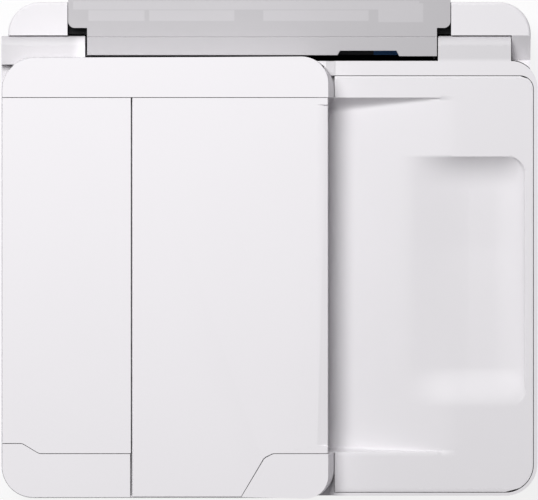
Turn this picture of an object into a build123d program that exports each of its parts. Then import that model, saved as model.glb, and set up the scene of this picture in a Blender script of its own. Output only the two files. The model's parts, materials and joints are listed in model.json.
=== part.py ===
from build123d import *
import os
from math import cos, pi, radians, sin

# Inkjet printer with a flatbed scanner, a document feeder, a rear paper slot and a front cassette.
# The printer stands on Z = 0, its front faces -Y, and the origin is the middle of its footprint.
# All sizes are in millimetres.

# Overall size
width = 403.0
depth = 375.0
height = 193.0
left = -width / 2
right = width / 2
front = -depth / 2
back = depth / 2

# Walls and clearances
shell_wall = 2.4
thin_wall = 1.8
seam = 0.5
slide_gap = 0.4
pin_gap = 0.05
touch_gap = 0.3

# Lower casing
case_side_step = 5.0
case_front_step = 5.0
case_back_step = 2.0
case_rear_corner = 24.0
case_front_corner = 20.0
foot_height = 3.0
foot_radius = 9.0
foot_inset = 38.0
pan_thickness = 2.5
deck_level = 111.0
rear_case_level = 165.0
front_band = 44.0
rear_band = 50.0
trough_level = 134.0
screw_head_radius = 2.6
screw_head_height = 1.6
screw_shank_radius = 1.5
screw_length = 7.0
screw_step = 5.0

# Scanner unit and lid
scanner_front_step = 1.9
scanner_back = back - 46.3
scanner_rear_corner = 20.0
scanner_front_corner = 24.0
scanner_case_height = 27.0
scanner_top_height = 10.0
lid_level = 167.0
lid_rim = 2.7
lid_rear_strip = 10.9
lid_plate = 2.0
lid_pad_thickness = 2.2
glass_length = 302.0
glass_width = 219.0
glass_thickness = 2.8
glass_centre_y = -16.0

# Hinges of the scanner unit and the lid share one line
hinge_y = back - 35.0
hinge_z = 159.5
knuckle_radius = 7.5
hinge_eye_radius = 5.4
hinge_pin_radius = 3.0
left_hood_end = left + 62.9
right_hood_start = right - 74.7
right_hood_end = right - 19.8
hinge_ear_width = 9.0
bracket_plate = 2.0

# Document feeder on the lid
feeder_right = left + 245.6
feeder_draft = 4.5
feeder_back = back - 43.3
feeder_floor_level = 160.0
feeder_corner_rear_left = 25.0
feeder_corner_rear_right = 20.0
feeder_corner_front_right = 17.0
feeder_corner_front_left = 24.0
rear_seam_y = back - 73.8
cover_seam_x = left + 98.0
left_front_seam_y = front + 41.1
front_seam_y = front + 33.5
document_floor_level = 176.0
tray_thickness = 3.0
tray_hinge_inset = 5.0
tray_bevel_width = 8.3
tray_bevel_drop = 2.2

# Output ramp beside the document feeder
ramp_depth = 13.6
ramp_crease_x = right - 61.9
ramp_rear_y = rear_seam_y
ramp_front_y = front_seam_y + 0.9
scoop_depth = 7.5
scoop_rear_y = rear_seam_y - 44.3
scoop_front_y = front_seam_y + 35.0
scoop_right_x = right - 9.3

# Rear paper slot
slot_cover_left = left + 50.1
slot_cover_right = right - 65.3
slot_band_left = slot_cover_left + 14.3
slot_band_right = slot_cover_right - 10.2
slot_band_y = back - 28.3
slot_cover_front = back - 42.9
slot_cover_level = 166.5
slot_cover_thickness = 2.0
slot_hinge_drop = 6.5
slot_hinge_inset = 3.2
support_length = 25.0
notch_right = slot_band_right - 28.4
notch_left = notch_right - 46.5
notch_depth = 4.3

# Front side
panel_width = width - 63.0
panel_bottom = 72.0
panel_thickness = 14.0
opening_width = 236.0
output_floor = 42.0
output_tray_width = 212.0
output_tray_length = 150.0
output_tray_thickness = 3.5
flap_length = 17.0
cassette_width = 232.0
cassette_length = depth - 107.0
cassette_height = 30.0
cassette_front_width = 300.0

# Print engine
rail_y = 22.0
rail_level = 92.0
rail_radius = 4.0
carriage_width = 74.0
roller_y = 46.0
roller_z = 62.0
roller_radius = 6.0
paper_width = 216.0
gear_module = 1.0
gear_teeth = 30
pinion_teeth = 12

# Places that follow from the sizes above
case_side = right - case_side_step
case_front = front + case_front_step
case_back = back - case_back_step
pan_top = foot_height + pan_thickness
front_split = case_front + front_band
rear_split = case_back - rear_band
scanner_front = front + scanner_front_step
scanner_floor = deck_level + 1.0
scanner_seam = scanner_floor + scanner_case_height
scanner_level = scanner_seam + scanner_top_height
lid_floor = scanner_level + lid_pad_thickness
feeder_right_foot = feeder_right + feeder_draft
ramp_left = cover_seam_x + 20.0


def block(x, y, z, mode=Mode.ADD):
    """Add or cut a box that spans the three given ranges."""
    with Locations(((x[0] + x[1]) / 2, (y[0] + y[1]) / 2, (z[0] + z[1]) / 2)):
        Box(x[1] - x[0], y[1] - y[0], z[1] - z[0], mode=mode)


def rod_x(x, y, z, radius, mode=Mode.ADD):
    """Add or cut a round bar along X."""
    with Locations(((x[0] + x[1]) / 2, y, z)):
        Cylinder(radius, x[1] - x[0], rotation=(0, 90, 0), mode=mode)


def rod_y(x, y, z, radius, mode=Mode.ADD):
    """Add or cut a round bar along Y."""
    with Locations((x, (y[0] + y[1]) / 2, z)):
        Cylinder(radius, y[1] - y[0], rotation=(90, 0, 0), mode=mode)


def rod_z(x, y, z, radius, mode=Mode.ADD):
    """Add or cut a round bar along Z."""
    with Locations((x, y, (z[0] + z[1]) / 2)):
        Cylinder(radius, z[1] - z[0], mode=mode)


def side_prism(points, x, mode=Mode.ADD):
    """Add or cut a prism whose outline lies in the YZ plane and that spans a range of X."""
    with BuildSketch(Plane.YZ.offset(x[0])) as outline:
        with BuildLine():
            Polyline(*points, close=True)
        make_face()
    extrude(outline.sketch, amount=x[1] - x[0], mode=mode)


def front_prism(points, y, mode=Mode.ADD):
    """Add or cut a prism whose outline lies in the XZ plane and that spans a range of Y."""
    with BuildSketch(Plane.XZ.offset(-y[1])) as outline:
        with BuildLine():
            Polyline(*points, close=True)
        make_face()
    extrude(outline.sketch, amount=y[1] - y[0], mode=mode)


def flat_prism(points, z, mode=Mode.ADD, rounded=(), radius=0.0):
    """Add or cut a prism whose outline lies in the XY plane, with some of its points rounded."""
    with BuildSketch(Plane.XY.offset(z[0])) as outline:
        with BuildLine():
            Polyline(*points, close=True)
        make_face()
        for index in rounded:
            fillet(outline.vertices().sort_by_distance((*points[index], z[0]))[0], radius)
    extrude(outline.sketch, amount=z[1] - z[0], mode=mode)


def rounded_face(x, y, radii, inset=0.0):
    """Return a rectangle with its own radius at the rear left, rear right, front right and front left."""
    with BuildSketch() as outline:
        with Locations(((x[0] + x[1]) / 2, (y[0] + y[1]) / 2)):
            Rectangle(x[1] - x[0] - 2 * inset, y[1] - y[0] - 2 * inset)
        corners = [(-1, 1), (1, 1), (1, -1), (-1, -1)]
        for (side, end), radius in zip(corners, radii):
            if radius > inset:
                target = (x[(side + 1) // 2] - side * inset, y[(end + 1) // 2] - end * inset)
                nearest = outline.vertices().sort_by_distance((target[0], target[1], 0))[0]
                fillet(nearest, radius - inset)
    return outline.sketch


def case_face(inset=0.0):
    """Return the outline of the lower casing."""
    radii = (case_rear_corner, case_rear_corner, case_front_corner, case_front_corner)
    return rounded_face((-case_side, case_side), (case_front, case_back), radii, inset)


def scanner_face(inset=0.0):
    """Return the outline of the scanner unit and of the lid above it."""
    radii = (0.0, scanner_rear_corner, scanner_front_corner, scanner_front_corner)
    return rounded_face((left, right), (scanner_front, scanner_back), radii, inset)


def raise_face(face, z, mode=Mode.ADD):
    """Add or cut a plan outline between two heights."""
    extrude(Location((0, 0, z[0])) * face, amount=z[1] - z[0], dir=(0, 0, 1), mode=mode)


def save(builder, name):
    """Label a finished piece and write it."""
    builder.part.label = name
    export_step(builder.part, "parts/" + name + ".step")


os.makedirs("parts", exist_ok=True)

# Lower casing: a base pan, four shells around it, and a deck under the scanner
case_inner = case_side - shell_wall
hood_back = hinge_y + knuckle_radius
scanner_gap = 0.8
slot_hinge_y = back - slot_hinge_inset
slot_hinge_z = slot_cover_level - slot_hinge_drop
slot_cover_underside = slot_cover_level - slot_cover_thickness
case_wide = 2 * case_side
socket_x = -40.0
socket_width = 12.6
socket_height = 11.4
inlet_x = 96.0
inlet_width = 26.0
inlet_height = 20.0
inlet_z = 32.0
socket_z = 52.0
pan_lip = 7.0
chassis_side = case_side - 20.5
chassis_sheet = 2.0
deck_thickness = 2.0
deck_front = case_front + 22.0
stay_x = case_side - 11.5
stay_slot = 12.0
cassette_front_height = 32.0
cassette_top = pan_top + slide_gap + cassette_height
opening_top = panel_bottom - 3.0
shelf_thickness = 2.0
shelf_back = -60.0
panel_side = panel_width / 2
panel_pivot_y = case_front + 4.5
panel_pivot_z = deck_level - 4.6
panel_pin_radius = 1.6
panel_pin_length = 3.0
panel_ear = 2.4

with BuildPart() as base_pan:
    raise_face(case_face(), (foot_height, pan_top))
    raise_face(case_face(shell_wall + touch_gap), (pan_top, pan_top + pan_lip))
    raise_face(case_face(shell_wall + touch_gap + thin_wall), (pan_top, pan_top + pan_lip + 1),
               mode=Mode.SUBTRACT)
    mouth = cassette_front_width / 2 + 2.0
    block((-mouth, mouth), (case_front - 1, case_front + front_band), (pan_top, pan_top + pan_lip + 1),
          mode=Mode.SUBTRACT)
    for x in (-chassis_side + 14, 0.0, chassis_side - 14):
        block((x - 1, x + 1), (case_front + front_band, case_back - 30), (pan_top - 0.5, pan_top + 0.2))
save(base_pan, "base_pan")

with BuildPart() as rubber_feet:
    foot_rows = (case_front + foot_inset, case_back - foot_inset)
    for x in (-case_side + foot_inset, case_side - foot_inset):
        for y in foot_rows:
            rod_z(x, y, (0, foot_height), foot_radius)
    chamfer(rubber_feet.faces().group_by(Axis.Z)[0].edges(), 0.8)
save(rubber_feet, "rubber_feet")


def case_shell(z_top):
    """Add the casing wall up to a height."""
    raise_face(case_face(), (pan_top, z_top))
    raise_face(case_face(shell_wall), (pan_top - 1, z_top + 1), mode=Mode.SUBTRACT)


def side_vents(x):
    """Cut the row of air slots low in a side cover."""
    pitch = 7.0
    for step in range(9):
        y = rear_split - 22 - step * pitch
        block(x, (y - 1.2, y + 1.2), (24, 44), mode=Mode.SUBTRACT)


side_y = (front_split + seam / 2, rear_split - seam / 2)
with BuildPart() as left_side_cover:
    case_shell(deck_level)
    block((-case_side - 1, -case_inner + 1), side_y, (0, height), mode=Mode.INTERSECT)
    side_vents((-case_side - 1, -case_inner + 2))
save(left_side_cover, "left_side_cover")

with BuildPart() as right_side_cover:
    case_shell(deck_level)
    block((case_inner - 1, case_side + 1), side_y, (0, height), mode=Mode.INTERSECT)
    side_vents((case_inner - 2, case_side + 1))
save(right_side_cover, "right_side_cover")

shoulder_x = right_hood_end + seam
hinge_centres = ((left + left_hood_end) / 2, (right_hood_start + right_hood_end) / 2)
screw_places = [(x + side * screw_step, hinge_y + 1.0) for x in hinge_centres for side in (-1, 1)]
slot_pin_radius = 0.9
slot_pin_reach = 3.0
with BuildPart() as rear_cover:
    raise_face(case_face(), (pan_top, rear_case_level))
    block((-case_side, case_side), (rear_split, case_back), (pan_top, rear_case_level), mode=Mode.INTERSECT)
    raise_face(scanner_face(-scanner_gap), (deck_level, height), mode=Mode.SUBTRACT)
    block((-case_wide, shoulder_x), (0, hood_back + seam), (trough_level, height), mode=Mode.SUBTRACT)
    slope_foot = scanner_level + 2.0
    slope_y = scanner_back + scanner_gap
    side_prism([(0, slope_foot), (slope_y, slope_foot), (hood_back + seam, rear_case_level + 0.1),
                (hood_back + seam, height), (0, height)], (shoulder_x - 1, case_side + 1), mode=Mode.SUBTRACT)
    fillet(rear_cover.faces().sort_by(Axis.Z)[-1].edges().filter_by_position(Axis.Y, hood_back + 2, back), 2.0)
    raise_face(case_face(shell_wall), (pan_top - 1, trough_level - shell_wall), mode=Mode.SUBTRACT)
    with BuildPart(mode=Mode.PRIVATE) as rear_hollow:
        raise_face(case_face(shell_wall), (pan_top, rear_case_level - shell_wall))
        block((-case_side, case_side), (hood_back + seam + shell_wall, case_back), (pan_top, height),
              mode=Mode.INTERSECT)
    add(rear_hollow.part, mode=Mode.SUBTRACT)
    block((slot_cover_left - seam, slot_cover_right + seam), (hood_back, case_back - shell_wall),
          (trough_level - 5, height), mode=Mode.SUBTRACT)
    block((slot_cover_left - seam, slot_cover_right + seam), (hood_back, back + 1),
          (slot_hinge_z - 5.5, height), mode=Mode.SUBTRACT)
    block((slot_band_left - 2, slot_band_right + 2), (0, hood_back + 4), (deck_level, height),
          mode=Mode.SUBTRACT)
    block((inlet_x - inlet_width / 2 - seam, inlet_x + inlet_width / 2 + seam), (case_back - 5, back),
          (inlet_z - inlet_height / 2 - seam, inlet_z + inlet_height / 2 + seam), mode=Mode.SUBTRACT)
    block((socket_x - socket_width / 2 - seam, socket_x + socket_width / 2 + seam), (case_back - 5, back),
          (socket_z - socket_height / 2 - seam, socket_z + socket_height / 2 + seam), mode=Mode.SUBTRACT)
    for x, y in screw_places:
        rod_z(x, y, (trough_level - shell_wall - 1, trough_level + 1), screw_shank_radius + pin_gap,
              mode=Mode.SUBTRACT)
    rod_x((slot_cover_left - slot_pin_reach - 0.5, slot_cover_right + slot_pin_reach + 0.5), slot_hinge_y,
          slot_hinge_z,
          slot_pin_radius + pin_gap, mode=Mode.SUBTRACT)
    for step in range(12):
        x = -150 + step * 6
        block((x - 1.2, x + 1.2), (case_back - 5, back), (88, 116), mode=Mode.SUBTRACT)
save(rear_cover, "rear_cover")

with BuildPart() as front_frame:
    case_shell(deck_level)
    block((-case_side, case_side), (case_front, front_split - seam / 2), (0, height), mode=Mode.INTERSECT)
    mouth = cassette_front_width / 2 + seam
    block((-mouth, mouth), (case_front - 1, case_front + 5), (0, pan_top + cassette_front_height + 2 * seam),
          mode=Mode.SUBTRACT)
    block((-opening_width / 2, opening_width / 2), (case_front - 1, case_front + 5),
          (output_floor, opening_top),
          mode=Mode.SUBTRACT)
    block((-panel_side - seam, panel_side + seam), (case_front - 1, case_front + 5),
          (panel_bottom - seam, height),
          mode=Mode.SUBTRACT)
    block((-opening_width / 2 - thin_wall, opening_width / 2 + thin_wall),
          (case_front + shell_wall, shelf_back),
          (output_floor - shelf_thickness, output_floor))
    for side in (-1, 1):
        wall = sorted((side * opening_width / 2, side * (opening_width / 2 + thin_wall)))
        block(wall, (case_front + shell_wall, shelf_back), (output_floor, opening_top))
        ear = sorted((side * (panel_side + seam), side * (panel_side + seam + panel_ear)))
        block(ear, (case_front + shell_wall, panel_pivot_y + 6), (panel_pivot_z - 10, deck_level))
    rod_x((-panel_side - 5, panel_side + 5), panel_pivot_y, panel_pivot_z, panel_pin_radius + pin_gap,
          mode=Mode.SUBTRACT)
save(front_frame, "front_frame")

engine_front = -36.0
engine_back = rail_y + 22.0
with BuildPart() as inner_cover:
    raise_face(case_face(shell_wall + slide_gap), (deck_level - deck_thickness, deck_level))
    block((-case_side, case_side), (deck_front, rear_split - 1), (0, height), mode=Mode.INTERSECT)
    lip = ((-chassis_side + 6, chassis_side - 6), (engine_front, engine_back))
    block(lip[0], lip[1], (deck_level - 5, deck_level))
    inner_x = (lip[0][0] + thin_wall, lip[0][1] - thin_wall)
    inner_y = (lip[1][0] + thin_wall, lip[1][1] - thin_wall)
    block(inner_x, inner_y, (deck_level - 9, height), mode=Mode.SUBTRACT)
    block((stay_x - stay_slot / 2, stay_x + stay_slot / 2), (-38, 90), (0, height), mode=Mode.SUBTRACT)
save(inner_cover, "inner_cover")

# Hinge line at the rear: steel brackets on the casing, ears on the scanner unit, hoods on the lid
ear_gap = 0.5
bracket_inner = hinge_ear_width + 1.5 * ear_gap
bracket_stem = 6.0
hood_inner = hinge_eye_radius + touch_gap
eye_hole = hinge_pin_radius + pin_gap
pin_overhang = 2.0

with BuildPart() as hinge_brackets:
    for x in hinge_centres:
        block((x - bracket_inner - bracket_plate, x + bracket_inner + bracket_plate),
              (hinge_y - 8, hinge_y + 4),
              (trough_level, trough_level + bracket_plate))
        for side in (-1, 1):
            sheet = sorted((x + side * bracket_inner, x + side * (bracket_inner + bracket_plate)))
            block(sheet, (hinge_y - 1 - bracket_stem, hinge_y - 1), (trough_level, hinge_z))
            rod_x(sheet, hinge_y, hinge_z, hinge_eye_radius)
            rod_x((sheet[0] - 1, sheet[1] + 1), hinge_y, hinge_z, hinge_pin_radius, mode=Mode.SUBTRACT)
    for x, y in screw_places:
        rod_z(x, y, (trough_level - 1, trough_level + bracket_plate + 1), screw_shank_radius + pin_gap,
              mode=Mode.SUBTRACT)
save(hinge_brackets, "hinge_brackets")

with BuildPart() as hinge_pins:
    for x in hinge_centres:
        reach = bracket_inner + bracket_plate + pin_overhang
        rod_x((x - reach, x + reach), hinge_y, hinge_z, hinge_pin_radius)
save(hinge_pins, "hinge_pins")

with BuildPart() as bracket_screws:
    for x, y in screw_places:
        head_z = trough_level + bracket_plate
        rod_z(x, y, (head_z, head_z + screw_head_height), screw_head_radius)
        rod_z(x, y, (head_z - screw_length, head_z), screw_shank_radius)
save(bracket_screws, "bracket_screws")


# Scanner unit: a lower case, an upper frame with the glass, and the travelling sensor bar
scanner_wall = 2.4
scan_rail_width = 6.0
scan_rail_top = scanner_floor + scanner_wall + 5.0
glass_ledge = 3.0
strip_glass_width = 17.0
strip_glass_x = left + 24.0
glass_x = glass_length / 2 - 5.0
sensor_length = 234.0
sensor_width = 26.0

stay_length = 96.0
stay_pivot_y = -20.0
stay_pivot_z = scanner_floor - 5.0
stay_half = 3.4
stay_sheet = 3.0
stay_pin_radius = 1.6

with BuildPart() as scanner_case:
    raise_face(scanner_face(), (scanner_floor, scanner_seam))
    fillet(scanner_case.faces().group_by(Axis.Z)[0].edges(), 2.0)
    raise_face(scanner_face(scanner_wall), (scanner_floor + scanner_wall, scanner_seam + 1), mode=Mode.SUBTRACT)
    block((left + 12, right - 14), (glass_centre_y - scan_rail_width / 2, glass_centre_y + scan_rail_width / 2),
          (scanner_floor + scanner_wall - 0.2, scan_rail_top))
    for side in (-1, 1):
        cheek = sorted((stay_x + side * (stay_sheet / 2 + touch_gap), stay_x + side * (stay_sheet / 2 + 2)))
        block(cheek, (stay_pivot_y - 4, stay_pivot_y + 4), (stay_pivot_z - 3.5, scanner_floor + 0.5))
    rod_x((stay_x - stay_sheet / 2 - 2, stay_x + stay_sheet / 2 + 2), stay_pivot_y, stay_pivot_z,
          stay_pin_radius)
save(scanner_case, "scanner_case")

glass_seat = scanner_level - scanner_wall
glass_y = (glass_centre_y - glass_width / 2, glass_centre_y + glass_width / 2)
glass_main_x = (glass_x - glass_length, glass_x)
glass_strip_x = (strip_glass_x - strip_glass_width / 2, strip_glass_x + strip_glass_width / 2)
with BuildPart() as scanner_top:
    raise_face(scanner_face(), (scanner_seam, scanner_level))
    raise_face(scanner_face(scanner_wall), (scanner_seam - 1, glass_seat), mode=Mode.SUBTRACT)
    for window in (glass_main_x, glass_strip_x):
        block((window[0] + glass_ledge, window[1] - glass_ledge),
              (glass_y[0] + glass_ledge, glass_y[1] - glass_ledge),
              (glass_seat - 1, height), mode=Mode.SUBTRACT)
    foot = scanner_level - 7.5
    for x in hinge_centres:
        eye = (x - hinge_ear_width - ear_gap / 2, x - ear_gap / 2)
        block(eye, (scanner_back - scanner_wall, hinge_y - 1), (foot, scanner_level - 1))
        block(eye, (hinge_y - 1 - bracket_stem, hinge_y - 1), (foot, hinge_z))
        rod_x(eye, hinge_y, hinge_z, hinge_eye_radius)
        rod_x((eye[0] - 1, eye[1] + 1), hinge_y, hinge_z, eye_hole, mode=Mode.SUBTRACT)
save(scanner_top, "scanner_top")

with BuildPart() as platen_glass:
    for window in (glass_main_x, glass_strip_x):
        block(window, glass_y, (glass_seat - glass_thickness, glass_seat))
save(platen_glass, "platen_glass")

sensor_x = strip_glass_x
sensor_top = glass_seat - glass_thickness - touch_gap
with BuildPart() as scan_carriage:
    block((sensor_x - sensor_width / 2, sensor_x + sensor_width / 2),
          (glass_centre_y - sensor_length / 2, glass_centre_y + sensor_length / 2), (scan_rail_top - 2,
                                                                                     sensor_top - 3))
    block((sensor_x - 7, sensor_x + 7), (glass_centre_y - 112, glass_centre_y + 112),
          (sensor_top - 3, sensor_top))
    block((sensor_x - sensor_width, sensor_x + sensor_width),
          (glass_centre_y - scan_rail_width / 2 - touch_gap, glass_centre_y + scan_rail_width / 2 + touch_gap),
          (scanner_floor, scan_rail_top + touch_gap), mode=Mode.SUBTRACT)
save(scan_carriage, "scan_carriage")

with BuildPart() as stay_arm:
    sheet = (stay_x - stay_sheet / 2, stay_x + stay_sheet / 2)
    tip_y = stay_pivot_y + stay_length - stay_half
    block(sheet, (stay_pivot_y, tip_y), (stay_pivot_z - stay_half, stay_pivot_z + stay_half))
    rod_x(sheet, stay_pivot_y, stay_pivot_z, stay_half)
    rod_x(sheet, tip_y, stay_pivot_z, stay_half)
    rod_x((sheet[0] - 1, sheet[1] + 1), stay_pivot_y, stay_pivot_z, stay_pin_radius + pin_gap,
          mode=Mode.SUBTRACT)
save(stay_arm, "stay_arm")


# Lid: the frame that closes on the glass, its hinge hoods, and the output ramp set into it
def hood(x, eye_x):
    """Add one hinge hood with its inner eye to the lid frame."""
    top = hinge_z + knuckle_radius
    block(x, (scanner_back - lid_rim, hinge_y), (hinge_z + 0.5, top))
    rod_x(x, hinge_y, hinge_z, knuckle_radius)
    inside = (x[0] + thin_wall, x[1] - thin_wall)
    block(inside, (scanner_back, hinge_y), (0, hinge_z + hood_inner), mode=Mode.SUBTRACT)
    rod_x(inside, hinge_y, hinge_z, hood_inner, mode=Mode.SUBTRACT)
    block(inside, (hinge_y - 1, hinge_y + knuckle_radius + 1), (0, hinge_z), mode=Mode.SUBTRACT)
    rod_x(eye_x, hinge_y, hinge_z, hood_inner + 0.4)
    rod_x((x[0] + thin_wall / 2, x[1] - thin_wall / 2), hinge_y, hinge_z, eye_hole, mode=Mode.SUBTRACT)


strip_front = scanner_back - lid_rear_strip
lid_plan_x = (feeder_right_foot + seam, right - lid_rim - seam)
lid_plan_y = (scanner_front + lid_rim - 0.5 + seam, strip_front - seam)
lid_pocket_corner = 10.3
window_x = (ramp_left - 3.0, right - 12.0)
window_y = (ramp_front_y - 3.0, ramp_rear_y + 3.0)
with BuildPart() as lid_frame:
    raise_face(scanner_face(), (lid_floor, lid_level))
    block((-width, feeder_right_foot), (-depth, depth), (feeder_floor_level, height), mode=Mode.SUBTRACT)
    raise_face(rounded_face((lid_plan_x[0] - seam, lid_plan_x[1] + seam),
                            (lid_plan_y[0] - seam, lid_plan_y[1] + seam),
                            (0, lid_pocket_corner, scanner_front_corner - lid_rim, 0)),
               (lid_floor + lid_plate, height), mode=Mode.SUBTRACT)
    block((left + lid_rim, feeder_right_foot), (scanner_front + 22, scanner_back - lid_rear_strip),
          (lid_floor + lid_plate, height), mode=Mode.SUBTRACT)
    block(window_x, window_y, (0, height), mode=Mode.SUBTRACT)
    block((feeder_right_foot + 4, right - scanner_rear_corner),
          (strip_front + thin_wall, scanner_back - lid_rim),
          (0, lid_level - thin_wall), mode=Mode.SUBTRACT)
    for x, centre in zip(((left, left_hood_end), (right_hood_start, right_hood_end)), hinge_centres):
        hood(x, (centre + ear_gap / 2, centre + ear_gap / 2 + hinge_ear_width))
    block((-width, width), (scanner_back - 0.01, depth), (0, hinge_z - knuckle_radius - 1), mode=Mode.SUBTRACT)
save(lid_frame, "lid_frame")

with BuildPart() as lid_pad:
    block((left + 10, glass_x + 12), (glass_y[0] - 8, glass_y[1] + 8), (scanner_level + touch_gap, lid_floor))
save(lid_pad, "lid_pad")

ramp_low = lid_level - ramp_depth
panel_skin = 2.0
scoop_floor = lid_level - scoop_depth
scoop_corner = 14.0
ramp_y = (ramp_front_y, ramp_rear_y)
with BuildPart() as output_panel:
    plan = rounded_face(lid_plan_x, lid_plan_y,
                        (0, lid_pocket_corner - seam, scanner_front_corner - lid_rim - seam, 0))
    raise_face(plan, (lid_floor + lid_plate, lid_level))
    inner = rounded_face(lid_plan_x, lid_plan_y, (0, lid_pocket_corner, scanner_front_corner - lid_rim, 0),
                         thin_wall)
    raise_face(inner, (0, lid_level - panel_skin), mode=Mode.SUBTRACT)
    body_y = (ramp_y[0] - panel_skin, ramp_y[1] + panel_skin)
    front_prism([(lid_plan_x[0], ramp_low - panel_skin), (ramp_crease_x + 4, lid_level - panel_skin),
                 (ramp_crease_x + 4, lid_level - 1), (lid_plan_x[0], lid_level - 1)], body_y)
    block((ramp_left, lid_plan_x[0]), body_y, (ramp_low - panel_skin, feeder_floor_level - seam))
    scoop_x = (feeder_right_foot + 20, scoop_right_x)
    block((scoop_x[0] + 20, scoop_x[1] + panel_skin), (scoop_front_y - panel_skin, scoop_rear_y + panel_skin),
          (scoop_floor - panel_skin, lid_level - 1))
    front_prism([(ramp_left - 1, ramp_low), (feeder_right, ramp_low), (ramp_crease_x, lid_level),
                 (ramp_crease_x, height), (ramp_left - 1, height)], ramp_y, mode=Mode.SUBTRACT)
    scoop_plan = rounded_face((scoop_x[0] - 20, scoop_x[1]), (scoop_front_y, scoop_rear_y),
                              (0, scoop_corner, scoop_corner, 0))
    raise_face(scoop_plan, (scoop_floor, height), mode=Mode.SUBTRACT)
save(output_panel, "output_panel")


# Document feeder: a housing on the lid, the feeder cover, the document tray and the feed rollers
feeder_top = height
feeder_sill = 165.0
cover_pivot_x = left + 2.2
cover_pivot_z = feeder_sill + 3.5
cover_pin_radius = 1.2
cover_thickness = 2.4
feeder_wall = 2.4
tray_pivot_x = feeder_right - tray_hinge_inset
tray_pivot_z = feeder_top - tray_thickness - 1.0
tray_pin_radius = 1.6
tray_skirt = 9.0
tray_overhang = 0.8
step_x = (left + 16.1, left + 28.7)
step_radius = 6.0
cut_x = (2.9, -3.7, -21.0)
cut_y = (front_seam_y, front_seam_y - 3.3)
slot_height = 13.0
roller_span_y = (glass_centre_y - 50.0, glass_centre_y + 50.0)
floor_thickness = 2.0
swing_gap = 1.1
swing_relief = 3.4
cover_lip = 0.7
feeder_roller_x = cover_seam_x - 46.0
pickup_roller_x = cover_seam_x - 20.0
feeder_axle_z = document_floor_level + 3.0
feeder_axle_radius = 2.5


def tray_outline(gap):
    """Return the corner points of the document tray, drawn in by a gap."""
    return [(cover_seam_x + gap, rear_seam_y - gap), (feeder_right, rear_seam_y - gap),
            (feeder_right, cut_y[0] + gap), (cut_x[0] - gap, cut_y[0] + gap), (cut_x[1] - gap, cut_y[1] + gap),
            (cut_x[2] - gap, front), (cover_seam_x + gap, front)]


def cover_outline(gap):
    """Return the corner points of the feeder cover, drawn in by a gap."""
    return [(left, rear_seam_y - gap), (cover_seam_x - gap, rear_seam_y - gap),
            (cover_seam_x - gap, front_seam_y + gap),
            (step_x[1], front_seam_y + gap), (step_x[0], left_front_seam_y + gap), (left,
                                                                                    left_front_seam_y + gap)]


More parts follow.
